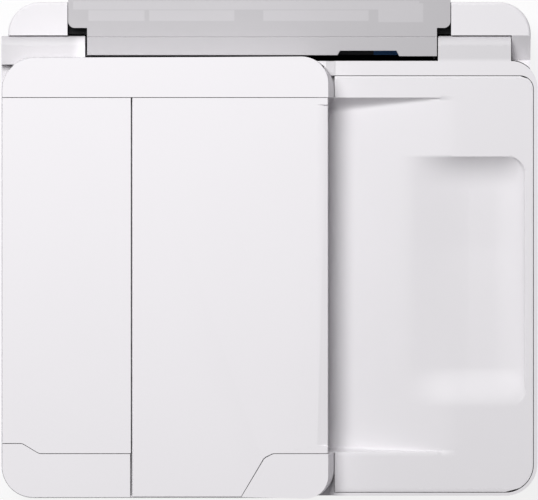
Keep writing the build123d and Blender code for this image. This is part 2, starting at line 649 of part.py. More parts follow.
feeder_radii_top = (feeder_corner_rear_left, feeder_corner_rear_right, feeder_corner_front_right,
                    feeder_corner_front_left)
feeder_radii_foot = (feeder_corner_rear_left, feeder_corner_rear_right + feeder_draft,
                     feeder_corner_front_right + feeder_draft, feeder_corner_front_left)
with BuildPart() as feeder_housing:
    foot_face = rounded_face((left, feeder_right_foot), (front, feeder_back), feeder_radii_foot)
    top_face = rounded_face((left, feeder_right), (front, feeder_back), feeder_radii_top)
    raise_face(foot_face, (feeder_floor_level, lid_level))
    loft([Location((0, 0, lid_level)) * foot_face, Location((0, 0, feeder_top)) * top_face])
    flat_prism(cover_outline(0), (feeder_sill, feeder_top + 1), mode=Mode.SUBTRACT, rounded=(3, 4),
               radius=step_radius)
    flat_prism([(left - 5, rear_seam_y), (left + 5, rear_seam_y), (left + 5, left_front_seam_y),
                (left - 5, left_front_seam_y)], (feeder_sill, feeder_top + 1), mode=Mode.SUBTRACT)
    flat_prism(tray_outline(0) + [(cover_seam_x - 1, front - 1), (cover_seam_x - 1, rear_seam_y)],
               (feeder_top - tray_thickness - seam, feeder_top + 1), mode=Mode.SUBTRACT, rounded=(3, 4),
               radius=step_radius)
    well_y = (front_seam_y + 0.01, rear_seam_y)
    block((cover_seam_x - 1, feeder_right_foot + 1), well_y, (document_floor_level + floor_thickness,
                                                              feeder_top + 1),
          mode=Mode.SUBTRACT)
    block((cover_seam_x - 1, cut_x[2] - feeder_wall), (front + feeder_wall, front_seam_y + 1),
          (document_floor_level + floor_thickness, feeder_top + 1), mode=Mode.SUBTRACT)
    block((ramp_left, feeder_right_foot + 1), ramp_y, (0, feeder_floor_level + slot_height), mode=Mode.SUBTRACT)
    block((feeder_right - tray_overhang, feeder_right_foot + 1), ramp_y, (0, feeder_top - tray_thickness - seam),
          mode=Mode.SUBTRACT)
    block((left - 1, left_hood_end + seam), (scanner_back - lid_rim - seam, feeder_back + 1),
          (0, lid_level + seam),
          mode=Mode.SUBTRACT)
    block((left - 1, feeder_right_foot + 1), (scanner_back, feeder_back + 1), (0, slot_cover_level + swing_gap),
          mode=Mode.SUBTRACT)
    block((left + feeder_wall, ramp_left - feeder_wall),
          (front_seam_y + feeder_wall, rear_seam_y - feeder_wall),
          (feeder_floor_level + floor_thickness, feeder_sill + 1), mode=Mode.SUBTRACT)
    block((left + feeder_wall + 3, feeder_right - 3), (rear_seam_y + feeder_wall + 2,
                                                       feeder_back - feeder_wall - 4),
          (0, feeder_top - feeder_wall), mode=Mode.SUBTRACT)
    block((left + feeder_wall + 6, cover_seam_x - feeder_wall),
          (front + feeder_wall + 5, front_seam_y - feeder_wall),
          (0, feeder_top - feeder_wall), mode=Mode.SUBTRACT)
    block((cover_seam_x, feeder_right - 4), (front + feeder_wall + 4, front_seam_y - feeder_wall - 1),
          (0, document_floor_level - 1), mode=Mode.SUBTRACT)
    for y in (roller_span_y[0], roller_span_y[1]):
        block((cover_seam_x - 58, cover_seam_x - 8), (y - 1.5, y + 1.5),
              (feeder_floor_level + 1, document_floor_level + 9))
    for x in (feeder_roller_x, pickup_roller_x):
        rod_y(x, (roller_span_y[0] - 2, roller_span_y[1] + 2), feeder_axle_z, feeder_axle_radius + pin_gap,
              mode=Mode.SUBTRACT)
    rod_y(tray_pivot_x, (rear_seam_y - 1, rear_seam_y + 5), tray_pivot_z, tray_pin_radius + pin_gap,
          mode=Mode.SUBTRACT)
    rod_y(tray_pivot_x, (front_seam_y - 5, front_seam_y + 1), tray_pivot_z, tray_pin_radius + pin_gap,
          mode=Mode.SUBTRACT)
    rod_y(cover_pivot_x, (rear_seam_y - 1, rear_seam_y + 4), cover_pivot_z, cover_pin_radius + pin_gap,
          mode=Mode.SUBTRACT)
    rod_y(cover_pivot_x, (left_front_seam_y - 4, left_front_seam_y + 1), cover_pivot_z,
          cover_pin_radius + pin_gap,
          mode=Mode.SUBTRACT)
save(feeder_housing, "feeder_housing")

with BuildPart() as feeder_cover:
    flat_prism(cover_outline(seam), (feeder_sill + 1, feeder_top), rounded=(3, 4), radius=step_radius)
    block((left + cover_thickness, cover_seam_x + 5), (front_seam_y + seam + cover_thickness,
                                                       rear_seam_y - seam - cover_thickness),
          (0, feeder_top - cover_thickness), mode=Mode.SUBTRACT)
    block((left + cover_thickness, width), (-depth, depth),
          (0, document_floor_level + floor_thickness + seam + 2),
          mode=Mode.SUBTRACT)
    flat_prism([(step_x[0] - 2, front), (step_x[0] - 2, left_front_seam_y + swing_relief),
                (step_x[0] + 1, left_front_seam_y + swing_relief),
                (step_x[1] + 1, front_seam_y + swing_relief),
                (step_x[1] + 14, front_seam_y + swing_relief), (step_x[1] + 14, front)],
               (0, feeder_top - cover_lip), mode=Mode.SUBTRACT)
    for y in ((rear_seam_y - seam - 1, rear_seam_y + 3), (left_front_seam_y - 3, left_front_seam_y + seam + 1)):
        rod_y(cover_pivot_x, y, cover_pivot_z, cover_pin_radius)
save(feeder_cover, "feeder_cover")

with BuildPart() as document_tray:
    flat_prism(tray_outline(seam), (feeder_top - tray_thickness, feeder_top), rounded=(3, 4),
               radius=step_radius)
    front_prism([(feeder_right - tray_bevel_width, feeder_top + 0.01), (feeder_right + 1, feeder_top + 0.01),
                 (feeder_right + 1, feeder_top - tray_bevel_drop)],
                (front_seam_y + 6, rear_seam_y - 6), mode=Mode.SUBTRACT)
    block((feeder_right - 2, feeder_right), (front_seam_y + seam, rear_seam_y - seam),
          (feeder_top - tray_thickness - tray_skirt, feeder_top - tray_thickness + 0.5))
    for y in ((rear_seam_y - seam - 2.5, rear_seam_y - seam), (front_seam_y + seam, front_seam_y + seam + 2.5)):
        block((tray_pivot_x - 4, feeder_right), y, (tray_pivot_z - 2.5, feeder_top - tray_thickness + 0.5))
    for y in ((rear_seam_y - 2, rear_seam_y + 4), (front_seam_y - 4, front_seam_y + 2)):
        rod_y(tray_pivot_x, y, tray_pivot_z, tray_pin_radius)
save(document_tray, "document_tray")

# Feed rollers and paper guides inside the document feeder
feeder_roller_radius = 8.5
pickup_roller_radius = 7.0
tyre_half = 24.0
guide_height = 8.5
guide_sheet = 2.0
guide_base = 16.0
document_half = 108.0
guide_x = (cover_seam_x + 6.0, cover_seam_x + 96.0)


def feeder_axle(x, radius):
    """Add a rubber roller on its axle across the feeder."""
    rod_y(x, (roller_span_y[0] - 4, roller_span_y[1] + 4), feeder_axle_z, feeder_axle_radius)
    rod_y(x, (glass_centre_y - tyre_half, glass_centre_y + tyre_half), feeder_axle_z, radius)


with BuildPart() as feeder_roller:
    feeder_axle(feeder_roller_x, feeder_roller_radius)
save(feeder_roller, "feeder_roller")

with BuildPart() as pickup_roller:
    feeder_axle(pickup_roller_x, pickup_roller_radius)
save(pickup_roller, "pickup_roller")

guide_floor = document_floor_level + floor_thickness + touch_gap
with BuildPart() as rear_document_guide:
    y = glass_centre_y + document_half
    block(guide_x, (y, y + guide_sheet), (guide_floor, guide_floor + guide_height))
    block(guide_x, (y - guide_base, y + guide_sheet), (guide_floor, guide_floor + 1.2))
save(rear_document_guide, "rear_document_guide")

with BuildPart() as front_document_guide:
    y = glass_centre_y - document_half
    block(guide_x, (y - guide_sheet, y), (guide_floor, guide_floor + guide_height))
    block(guide_x, (y - guide_sheet, y + guide_base), (guide_floor, guide_floor + 1.2))
save(front_document_guide, "front_document_guide")

# Rear paper slot: a sloped chute, its cover, the folding support, the slot flap and the width guides
chute_top = (case_back - 6.5, 158.0)
chute_foot = (case_back - 60.5, 80.0)
chute_lip = (62.0, 69.0)
chute_sheet = 2.4
chute_run = ((chute_foot[0] - chute_top[0]) ** 2 + (chute_foot[1] - chute_top[1]) ** 2) ** 0.5
chute_normal = ((chute_foot[1] - chute_top[1]) / chute_run, -(chute_foot[0] - chute_top[0]) / chute_run)
tray_side_x = (slot_band_left + 1.0, slot_band_right - 1.0)
flap_pivot_y = scanner_back + 5.6
flap_pivot_z = 150.0
flap_pin_radius = 0.8
flap_reach = 9.5
flap_sheet = 1.6


def chute_point(level, lift):
    """Return the point of the chute's face at a height, lifted square to the face."""
    share = (chute_top[1] - level) / (chute_top[1] - chute_foot[1])
    y = chute_top[0] + share * (chute_foot[0] - chute_top[0])
    return (y + lift * chute_normal[0], level + lift * chute_normal[1])


with BuildPart() as rear_tray:
    under = [chute_point(chute_foot[1], -chute_sheet), (chute_lip[0], chute_lip[1] - chute_sheet)]
    side_prism([chute_top, chute_foot, chute_lip, under[1], under[0], (chute_top[0] + 2.9, chute_top[1])],
               tray_side_x)
    shoulder = scanner_back + 1.4
    cheek = [(chute_top[0] + 2.9, chute_top[1]), under[0], under[1], (chute_lip[0], chute_lip[1] + 10),
             (chute_foot[0] - 8, deck_level - 16), (shoulder - 8, deck_level - 4), (shoulder, deck_level - 4),
             (shoulder, chute_top[1])]
    for x in ((tray_side_x[0], tray_side_x[0] + thin_wall), (tray_side_x[1] - thin_wall, tray_side_x[1])):
        side_prism(cheek, x)
    for x in ((slot_cover_left, tray_side_x[0]), (tray_side_x[1], slot_cover_right)):
        block(x, (hood_back + seam + 1, chute_top[0] + 2.9), (150, 152))
    rod_x(tray_side_x, flap_pivot_y, flap_pivot_z, flap_pin_radius + pin_gap, mode=Mode.SUBTRACT)
save(rear_tray, "rear_tray")

with BuildPart() as feed_slot_cover:
    rod_x((tray_side_x[0] + 0.3, tray_side_x[1] - 0.3), flap_pivot_y, flap_pivot_z, flap_pin_radius)
    block((tray_side_x[0] + 18, tray_side_x[1] - 18), (flap_pivot_y, flap_pivot_y + flap_reach),
          (flap_pivot_z - flap_sheet / 2, flap_pivot_z + flap_sheet / 2))
save(feed_slot_cover, "feed_slot_cover")

slot_middle = (slot_band_left + slot_band_right) / 2
rear_guide_levels = (148.0, 118.0)
rear_guide_lift = 10.0
rear_guide_outline = [chute_point(rear_guide_levels[0], touch_gap), chute_point(rear_guide_levels[1],
                                                                                touch_gap),
                      chute_point(rear_guide_levels[1], rear_guide_lift), chute_point(rear_guide_levels[0],
                                                                                      rear_guide_lift)]
rear_foot_outline = [chute_point(rear_guide_levels[0], touch_gap), chute_point(rear_guide_levels[1], touch_gap),
                     chute_point(rear_guide_levels[1], 1.5), chute_point(rear_guide_levels[0], 1.5)]
paper_half = 105.5

with BuildPart() as left_paper_guide:
    x = slot_middle - paper_half
    side_prism(rear_guide_outline, (x - guide_sheet, x))
    side_prism(rear_foot_outline, (x - guide_sheet, x + guide_base))
save(left_paper_guide, "left_paper_guide")

with BuildPart() as right_paper_guide:
    x = slot_middle + paper_half
    side_prism(rear_guide_outline, (x, x + guide_sheet))
    side_prism(rear_foot_outline, (x - guide_base, x + guide_sheet))
save(right_paper_guide, "right_paper_guide")

slot_wide_y = slot_band_y + 6.8
slot_corner = 5.0
slot_lug = 2.4
support_pivot_y = slot_cover_front + 2.6
support_pivot_z = slot_cover_underside - 1.9
support_sheet = 1.6
support_x = (slot_band_left + 12.0, notch_left - slot_lug - 0.7)
with BuildPart() as rear_tray_cover:
    with BuildSketch(Plane.XY.offset(slot_cover_underside)) as cover_plan:
        with BuildLine():
            Polyline((slot_cover_left, back), (slot_cover_right, back), (slot_cover_right, slot_wide_y),
                     (slot_band_right, slot_wide_y), (slot_band_right, slot_cover_front),
                     (notch_right, slot_cover_front), (notch_right - 2, slot_cover_front + notch_depth),
                     (notch_left + 2, slot_cover_front + notch_depth), (notch_left, slot_cover_front),
                     (slot_band_left, slot_cover_front), (slot_band_left, slot_wide_y),
                     (slot_cover_left, slot_wide_y), close=True)
        make_face()
        fillet([v for v in cover_plan.vertices() if abs(v.Y - slot_wide_y) < 0.1
                and min(abs(v.X - slot_cover_left), abs(v.X - slot_cover_right)) < 0.1], slot_corner)
    extrude(amount=slot_cover_thickness)
    block((slot_band_left, slot_band_right), (slot_band_y - 0.3, slot_band_y + 0.3),
          (slot_cover_level - 0.4, slot_cover_level + 1), mode=Mode.SUBTRACT)
    block((slot_cover_left, slot_cover_right), (back - slot_cover_thickness, back),
          (slot_hinge_z, slot_cover_level))
    for x, tip in ((slot_cover_left, -slot_pin_reach), (slot_cover_right, slot_pin_reach)):
        inward = x - slot_lug if tip > 0 else x + slot_lug
        block(sorted((x, inward)), (slot_hinge_y - 2, back), (slot_hinge_z - 1.8, slot_cover_level))
        rod_x(sorted((inward, x + tip)), slot_hinge_y, slot_hinge_z, slot_pin_radius)
    for x in (support_x[0] - touch_gap - slot_lug, support_x[1] + touch_gap):
        block((x, x + slot_lug), (support_pivot_y - 1.8, support_pivot_y + 1.8),
              (support_pivot_z - 1.7, slot_cover_underside + 0.5))
    rod_x((support_x[0] - slot_lug - 1, support_x[1] + slot_lug + 1), support_pivot_y, support_pivot_z,
          support_sheet / 2 + pin_gap, mode=Mode.SUBTRACT)
save(rear_tray_cover, "rear_tray_cover")

with BuildPart() as paper_support:
    rod_x((support_x[0] - slot_lug, support_x[1] + slot_lug), support_pivot_y, support_pivot_z,
          support_sheet / 2)
    block(support_x, (support_pivot_y, support_pivot_y + support_length),
          (support_pivot_z - support_sheet / 2, support_pivot_z + support_sheet / 2))
save(paper_support, "paper_support")

# Operation panel across the front, which tilts up on two pins
panel_top = deck_level - 0.6
panel_skin_front = 3.5
panel_rise = 3.0
panel_back = case_front + panel_thickness
button_z = 91.0
button_radius = 5.0
button_flange = 1.2
display_x = (-46.0, 10.0)
display_z = (80.0, 104.0)
display_sheet = 2.0
button_places = {"power_button": -150.0, "left_button": 28.0, "ok_button": 44.0, "right_button": 60.0,
                 "stop_button": 92.0, "start_button": 112.0}
with BuildPart() as operation_panel:
    side_prism([(case_front, panel_bottom), (case_front + 8, panel_bottom),
                (panel_back, panel_bottom + panel_rise),
                (panel_back, panel_top), (case_front, panel_top)], (-panel_side, panel_side))
    fillet(operation_panel.edges().filter_by(Axis.X).group_by(Axis.Y)[0], 2.5)
    block((-panel_side + thin_wall, panel_side - thin_wall), (case_front + panel_skin_front, panel_back + 1),
          (panel_bottom + panel_rise + thin_wall, panel_top - thin_wall), mode=Mode.SUBTRACT)
    for x in button_places.values():
        rod_y(x, (case_front - 1, case_front + 5), button_z, button_radius + touch_gap, mode=Mode.SUBTRACT)
    block(display_x, (case_front - 1, case_front + display_sheet + 0.4), display_z, mode=Mode.SUBTRACT)
    for side in (-1, 1):
        rod_x(sorted((side * (panel_side - thin_wall), side * (panel_side + panel_pin_length))), panel_pivot_y,
              panel_pivot_z, panel_pin_radius)
save(operation_panel, "operation_panel")

with BuildPart() as display:
    block((display_x[0] + touch_gap, display_x[1] - touch_gap),
          (case_front + 0.4, case_front + display_sheet + 0.4),
          (display_z[0] + touch_gap, display_z[1] - touch_gap))
save(display, "display")

for name, x in button_places.items():
    with BuildPart() as button:
        rod_y(x, (case_front - 0.6, case_front + panel_skin_front + touch_gap), button_z, button_radius)
        rod_y(x, (case_front + panel_skin_front + touch_gap,
                  case_front + panel_skin_front + touch_gap + button_flange),
              button_z, button_radius + 1.4)
        chamfer(button.faces().sort_by(Axis.Y)[0].edges(), 0.5)
    save(button, name)

# Paper output tray with its folding stop
tray_y = (case_front + 2.0, case_front + 2.0 + output_tray_length)
tray_z = (output_floor + slide_gap, output_floor + slide_gap + output_tray_thickness)
tray_half = output_tray_width / 2
flap_half = 38.0
stop_pivot_y = tray_y[0] + 7.0
stop_sheet = 1.8
stop_pivot_z = tray_z[1] + 0.5 + stop_sheet / 2
stop_lug = 2.2
with BuildPart() as output_tray:
    block((-tray_half, tray_half), tray_y, tray_z)
    for step in range(5):
        x = (step - 2) * 44.0
        block((x - 14, x + 14), (tray_y[0] + 36, tray_y[1] - 12), (tray_z[1] - 1.0, tray_z[1] + 1),
              mode=Mode.SUBTRACT)
    for side in (-1, 1):
        lug = sorted((side * (flap_half + touch_gap), side * (flap_half + touch_gap + stop_lug)))
        block(lug, (stop_pivot_y - 2, stop_pivot_y + 2), (tray_z[1] - 0.5, stop_pivot_z + 1.9))
    rod_x((-flap_half - 5, flap_half + 5), stop_pivot_y, stop_pivot_z, stop_sheet / 2 + pin_gap,
          mode=Mode.SUBTRACT)
save(output_tray, "output_tray")

with BuildPart() as output_stop:
    rod_x((-flap_half - stop_lug, flap_half + stop_lug), stop_pivot_y, stop_pivot_z, stop_sheet / 2)
    block((-flap_half, flap_half), (stop_pivot_y, stop_pivot_y + flap_length),
          (stop_pivot_z - stop_sheet / 2, stop_pivot_z + stop_sheet / 2))
save(output_stop, "output_stop")

# Paper cassette in the bottom, with its front and its width guides
cassette_side = cassette_width / 2
cassette_y = (case_front + 12.0, case_front + 12.0 + cassette_length)
cassette_floor = pan_top + slide_gap
with BuildPart() as cassette:
    block((-cassette_side, cassette_side), cassette_y, (cassette_floor, cassette_top))
    block((-cassette_side + thin_wall, cassette_side - thin_wall),
          (cassette_y[0] + thin_wall, cassette_y[1] - thin_wall),
          (cassette_floor + thin_wall, cassette_top + 1), mode=Mode.SUBTRACT)
save(cassette, "cassette")

grip_half = 42.0
with BuildPart() as cassette_front:
    block((-cassette_front_width / 2, cassette_front_width / 2), (case_front, cassette_y[0]),
          (pan_top + seam, pan_top + seam + cassette_front_height))
    fillet(cassette_front.edges().filter_by(Axis.X).group_by(Axis.Y)[0], 1.5)
    block((-grip_half, grip_half), (case_front - 1, cassette_y[0] - 2.5), (0, pan_top + 14), mode=Mode.SUBTRACT)
save(cassette_front, "cassette_front")

cassette_guide_z = (cassette_floor + thin_wall + touch_gap, cassette_top - 3.0)
cassette_guide_y = (-60.0, 30.0)
with BuildPart() as left_cassette_guide:
    block((-paper_half - guide_sheet, -paper_half), cassette_guide_y, cassette_guide_z)
    block((-paper_half - guide_sheet, -paper_half + guide_base), cassette_guide_y,
          (cassette_guide_z[0], cassette_guide_z[0] + 1.2))
save(left_cassette_guide, "left_cassette_guide")

with BuildPart() as right_cassette_guide:
    block((paper_half, paper_half + guide_sheet), cassette_guide_y, cassette_guide_z)
    block((paper_half - guide_base, paper_half + guide_sheet), cassette_guide_y,
          (cassette_guide_z[0], cassette_guide_z[0] + 1.2))
save(right_cassette_guide, "right_cassette_guide")

# Print engine: chassis, rail, carriage with its cartridges, belt drive, rollers and platen
chassis_y = (-70.0, roller_y + 20.0)
chassis_top = deck_level - 7.0
cross_y = rail_y + 18.0
cross_sheet = 1.6
output_roller_y = -34.0
output_tyre_pitch = 42.0
shaft_radius = 3.0
belt_z = rail_level + 1.0
belt_pulley_x = chassis_side - 16.0
belt_y = (rail_y + 11.5, rail_y + 16.5)
pulley_radius = 6.0
pulley_shaft_radius = 1.6
motor_radius = 12.0
gear_radius = gear_module * gear_teeth / 2
pinion_radius = gear_module * pinion_teeth / 2
gear_reach = (gear_radius + pinion_radius + 0.2) / 2 ** 0.5
pinion_y = roller_y - gear_reach
pinion_z = roller_z - gear_reach
gear_x = (-chassis_side - 8.0, -chassis_side - 3.0)
with BuildPart() as main_chassis:
    for side in (-1, 1):
        block(sorted((side * chassis_side, side * (chassis_side + chassis_sheet))), chassis_y,
              (pan_top, chassis_top))
    block((-chassis_side, chassis_side), (cross_y, cross_y + cross_sheet), (deck_level - 31, chassis_top))
    for y, z in ((roller_y, roller_z), (output_roller_y, roller_z)):
        rod_x((-chassis_side - 5, chassis_side + 5), y, z, shaft_radius + pin_gap, mode=Mode.SUBTRACT)
    rod_x((-chassis_side - 5, chassis_side + 5), rail_y, rail_level, rail_radius, mode=Mode.SUBTRACT)
    rod_x((-chassis_side - 5, -chassis_side + 1), pinion_y, pinion_z, shaft_radius, mode=Mode.SUBTRACT)
    for x in (-belt_pulley_x, belt_pulley_x):
        rod_y(x, (cross_y - 1, cross_y + 3), belt_z, pulley_shaft_radius + pin_gap, mode=Mode.SUBTRACT)
save(main_chassis, "main_chassis")

with BuildPart() as guide_rail:
    rod_x((-chassis_side - 4, chassis_side + 4), rail_y, rail_level, rail_radius)
save(guide_rail, "guide_rail")

carriage_home_x = chassis_side - 54.0
carriage_x = (carriage_home_x - carriage_width / 2, carriage_home_x + carriage_width / 2)
carriage_y = (rail_y - 50.0, rail_y + 8.0)
carriage_z = (roller_z + 12.0, rail_level + 8.0)
pocket_gap = 0.5
pocket_width = (carriage_width - 7.5) / 2
pockets = ((carriage_x[0] + 2.5, carriage_x[0] + 2.5 + pocket_width), (carriage_x[1] - 2.5 - pocket_width,
                                                                       carriage_x[1] - 2.5))
pocket_y = (carriage_y[0] + 2.5, rail_y - 10.0)
nozzle_inset = 6.0
nozzle_drop = 4.5
nozzle_y = (pocket_y[0] + 10.0, pocket_y[0] + 26.0)
with BuildPart() as carriage:
    block(carriage_x, carriage_y, carriage_z)
    for pocket in pockets:
        block(pocket, pocket_y, (carriage_z[0] + 3, carriage_z[1] + 1), mode=Mode.SUBTRACT)
        block((pocket[0] + nozzle_inset, pocket[1] - nozzle_inset), nozzle_y,
              (carriage_z[0] - 1, carriage_z[0] + 4),
              mode=Mode.SUBTRACT)
    block((carriage_home_x - 7, carriage_home_x + 7), (carriage_y[1] - 1, belt_y[0] - touch_gap),
          (belt_z - 9, belt_z - 4))
    rod_x((carriage_x[0] - 1, carriage_x[1] + 1), rail_y, rail_level, rail_radius + pin_gap, mode=Mode.SUBTRACT)
save(carriage, "carriage")

for name, pocket in zip(("black_cartridge", "colour_cartridge"), pockets):
    with BuildPart() as cartridge:
        tank_y = (pocket_y[0] + pocket_gap, pocket_y[1] - pocket_gap)
        tank_x = (pocket[0] + pocket_gap, pocket[1] - pocket_gap)
        block(tank_x, tank_y, (carriage_z[0] + 3, carriage_z[1] + 2))
        block((tank_x[0] + 4, tank_x[1] - 4), (tank_y[0], tank_y[0] + 9),
              (carriage_z[1] + 1, carriage_z[1] + 4))
        block((tank_x[0] + nozzle_inset, tank_x[1] - nozzle_inset),
              (nozzle_y[0] + touch_gap, nozzle_y[1] - touch_gap),
              (carriage_z[0] - nozzle_drop, carriage_z[0] + 4))
        fillet(cartridge.edges().filter_by(Axis.Z), 0.8)
    save(cartridge, name)

with BuildPart() as carriage_belt:
    with BuildSketch(Plane.XZ.offset(-belt_y[1])):
        with Locations((0, belt_z)):
            SlotCenterToCenter(2 * belt_pulley_x, 2 * (pulley_radius + touch_gap + 1))
            SlotCenterToCenter(2 * belt_pulley_x, 2 * (pulley_radius + touch_gap), mode=Mode.SUBTRACT)
    extrude(amount=belt_y[1] - belt_y[0])
save(carriage_belt, "carriage_belt")

for name, x in (("drive_pulley", -belt_pulley_x), ("idler_pulley", belt_pulley_x)):
    with BuildPart() as pulley:
        rod_y(x, (belt_y[0] - 0.4, belt_y[1] + 0.3), belt_z, pulley_radius)
        rod_y(x, (belt_y[0] - 1.2, belt_y[0] - 0.4), belt_z, pulley_radius + 2)
        rod_y(x, (belt_y[1], cross_y + 5), belt_z, pulley_shaft_radius)
    save(pulley, name)

with BuildPart() as drive_motors:
    rod_y(-belt_pulley_x, (cross_y + cross_sheet, cross_y + 24), belt_z, motor_radius)
    rod_y(-belt_pulley_x, (cross_y, cross_y + 6), belt_z, pulley_shaft_radius + pin_gap, mode=Mode.SUBTRACT)
    rod_x((-chassis_side, -chassis_side + 26), pinion_y, pinion_z, motor_radius)
    rod_x((-chassis_side - 1, -chassis_side + 6), pinion_y, pinion_z, pulley_shaft_radius + pin_gap,
          mode=Mode.SUBTRACT)
save(drive_motors, "drive_motors")


def toothed_wheel(y, z, radius, teeth, first_angle):
    """Add a spur wheel across X with slim teeth."""
    root = radius - 1.1 * gear_module
    tip = radius + 0.9 * gear_module
    rod_x(gear_x, y, z, root)
    for step in range(teeth):
        angle = radians(first_angle + 360 / teeth * step)
        outline = []
        for reach, half in ((root - 0.4, 0.75), (tip, 0.4), (tip, -0.4), (root - 0.4, -0.75)):
            outline.append((y + reach * cos(angle) - half * sin(angle),
                            z + reach * sin(angle) + half * cos(angle)))
        side_prism(outline, gear_x)


with BuildPart() as feed_roller:
    rod_x((gear_x[0] - 2, chassis_side + 5), roller_y, roller_z, shaft_radius)
    rod_x((-paper_width / 2, paper_width / 2), roller_y, roller_z, roller_radius)
    toothed_wheel(roller_y, roller_z, gear_radius, gear_teeth, 225 + 180 / gear_teeth)
save(feed_roller, "feed_roller")

with BuildPart() as feed_pinion:
    rod_x((gear_x[0], -chassis_side + 5), pinion_y, pinion_z, pulley_shaft_radius)
    toothed_wheel(pinion_y, pinion_z, pinion_radius, pinion_teeth, 45)
save(feed_pinion, "feed_pinion")

with BuildPart() as output_roller:
    rod_x((-chassis_side - 4, chassis_side + 4), output_roller_y, roller_z, shaft_radius)
    for step in range(5):
        x = (step - 2) * output_tyre_pitch
        rod_x((x - 8, x + 8), output_roller_y, roller_z, roller_radius)
save(output_roller, "output_roller")

platen_y = (output_roller_y + 12.0, roller_y - 12.0)
platen_z = (roller_z - 2.0, roller_z + 4.0)
with BuildPart() as platen:
    block((-paper_width / 2 - 4, paper_width / 2 + 4), platen_y, platen_z)
    block((-chassis_side, chassis_side), (platen_y[0] + 2, platen_y[0] + 32), (platen_z[0], platen_z[0] + 4))
    for step in range(13):
        x = (step - 6) * 17.0
        block((x - 1, x + 1), (platen_y[0] + 4, platen_y[1] - 4), (platen_z[1] - 0.5, platen_z[1] + 2))
save(platen, "platen")

# Electronics at the back
board_x = (-70.0, 60.0)
board_y = case_back - 15.5
board_z = (16.0, 92.0)
board_sheet = 1.6
with BuildPart() as logic_board:
    block(board_x, (board_y, board_y + board_sheet), board_z)
    for x in (board_x[0] + 6, board_x[1] - 6):
        for z in (board_z[0] + 6, board_z[1] - 6):
            rod_y(x, (board_y + board_sheet - 0.5, case_back - shell_wall), z, 3.0)
    block((socket_x - socket_width / 2, socket_x + socket_width / 2),
          (board_y + board_sheet - 0.5, case_back - 0.4),
          (socket_z - socket_height / 2, socket_z + socket_height / 2))
    block((socket_x - socket_width / 2 + 1.6, socket_x + socket_width / 2 - 1.6), (case_back - 11, case_back),
          (socket_z - socket_height / 2 + 1.6, socket_z + socket_height / 2 - 1.6), mode=Mode.SUBTRACT)
    block((-10, 14), (board_y - 2.2, board_y + 0.3), (40, 64))
    block((30, 42), (board_y - 8, board_y + 0.3), (34, 70))
save(logic_board, "logic_board")

supply_x = (inlet_x - 30.0, inlet_x + 30.0)
supply_y = (case_back - 66.0, case_back - 9.0)
with BuildPart() as power_supply:
    block(supply_x, supply_y, (pan_top, pan_top + 42))
    block((inlet_x - inlet_width / 2, inlet_x + inlet_width / 2), (supply_y[1] - 1, case_back - 0.4),
          (inlet_z - inlet_height / 2, inlet_z + inlet_height / 2))
    block((inlet_x - inlet_width / 2 + 2, inlet_x + inlet_width / 2 - 2), (case_back - 16, case_back),
          (inlet_z - inlet_height / 2 + 2, inlet_z + inlet_height / 2 - 2), mode=Mode.SUBTRACT)
    for x in (inlet_x - 5, inlet_x + 5):
        rod_y(x, (case_back - 17, case_back - 5), inlet_z, 1.2)
save(power_supply, "power_supply")
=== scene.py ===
import bpy
import json
from math import hypot, radians, sqrt
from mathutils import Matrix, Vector


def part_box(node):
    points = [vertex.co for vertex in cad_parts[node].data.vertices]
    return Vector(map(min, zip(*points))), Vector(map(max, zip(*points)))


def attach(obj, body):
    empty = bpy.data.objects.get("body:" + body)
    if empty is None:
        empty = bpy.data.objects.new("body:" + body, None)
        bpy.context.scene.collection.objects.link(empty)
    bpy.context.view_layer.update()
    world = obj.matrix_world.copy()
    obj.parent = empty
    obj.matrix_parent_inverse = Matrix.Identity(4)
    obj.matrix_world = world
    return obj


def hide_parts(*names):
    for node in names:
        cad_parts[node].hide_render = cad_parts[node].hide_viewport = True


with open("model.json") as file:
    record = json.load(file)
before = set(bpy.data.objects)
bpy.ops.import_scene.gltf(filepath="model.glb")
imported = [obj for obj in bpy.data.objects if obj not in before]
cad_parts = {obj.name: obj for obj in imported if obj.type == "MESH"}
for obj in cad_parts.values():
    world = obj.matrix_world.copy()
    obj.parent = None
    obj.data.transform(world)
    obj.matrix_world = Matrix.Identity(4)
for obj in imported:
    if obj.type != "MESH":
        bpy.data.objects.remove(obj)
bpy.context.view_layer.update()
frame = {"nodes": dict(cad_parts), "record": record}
nodes = frame["nodes"]
mm = 0.001

# Camera: straight above the printer and far away, so high and low tops keep their places.
# The picture's width spans a little more than the machine at the level of its lid.
picture_middle = Vector((-0.3, -0.95, 0.0)) * mm
picture_width = 404.5 * mm
camera_height = 12.0
film_width = 36.0
nearest, farthest = 0.1, 100.0
lid_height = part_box("lid_frame")[1][2]
camera_place = (picture_middle.x, picture_middle.y, lid_height + camera_height)
bpy.ops.object.select_all(action="DESELECT")
bpy.ops.object.camera_add(location=camera_place, rotation=(0, 0, 0))
camera = bpy.context.object
camera.data.sensor_width = film_width
camera.data.lens = film_width * camera_height / picture_width
camera.data.clip_start = nearest
camera.data.clip_end = farthest
bpy.context.scene.camera = camera

# Studio: one broad soft lamp high up, to the rear and a little to the left, and a pale room.
# The room is dim for the light that falls on things and white to the camera and in reflections.
lamp_place = (-0.42, 0.98, 2.13)
lamp_size = 1.25
lamp_power = 45.3
lit_point = Vector((0.05, 0.0, 0.167))
room_fill = 0.13
room_tint = (0.97, 0.95, 1.0, 1.0)
full_white = 1.0
bpy.ops.object.light_add(type="AREA", location=lamp_place)
lamp = bpy.context.object
lamp.data.shape = "DISK"
lamp.data.size = lamp_size
lamp.data.energy = lamp_power
lamp.rotation_euler = (Vector(lamp_place) - lit_point).to_track_quat("Z", "Y").to_euler()
scene = bpy.context.scene
scene.view_settings.view_transform = "Standard"
if scene.world is None:
    scene.world = bpy.data.worlds.new("room")
scene.world.use_nodes = True
room = scene.world.node_tree
room.nodes.clear()


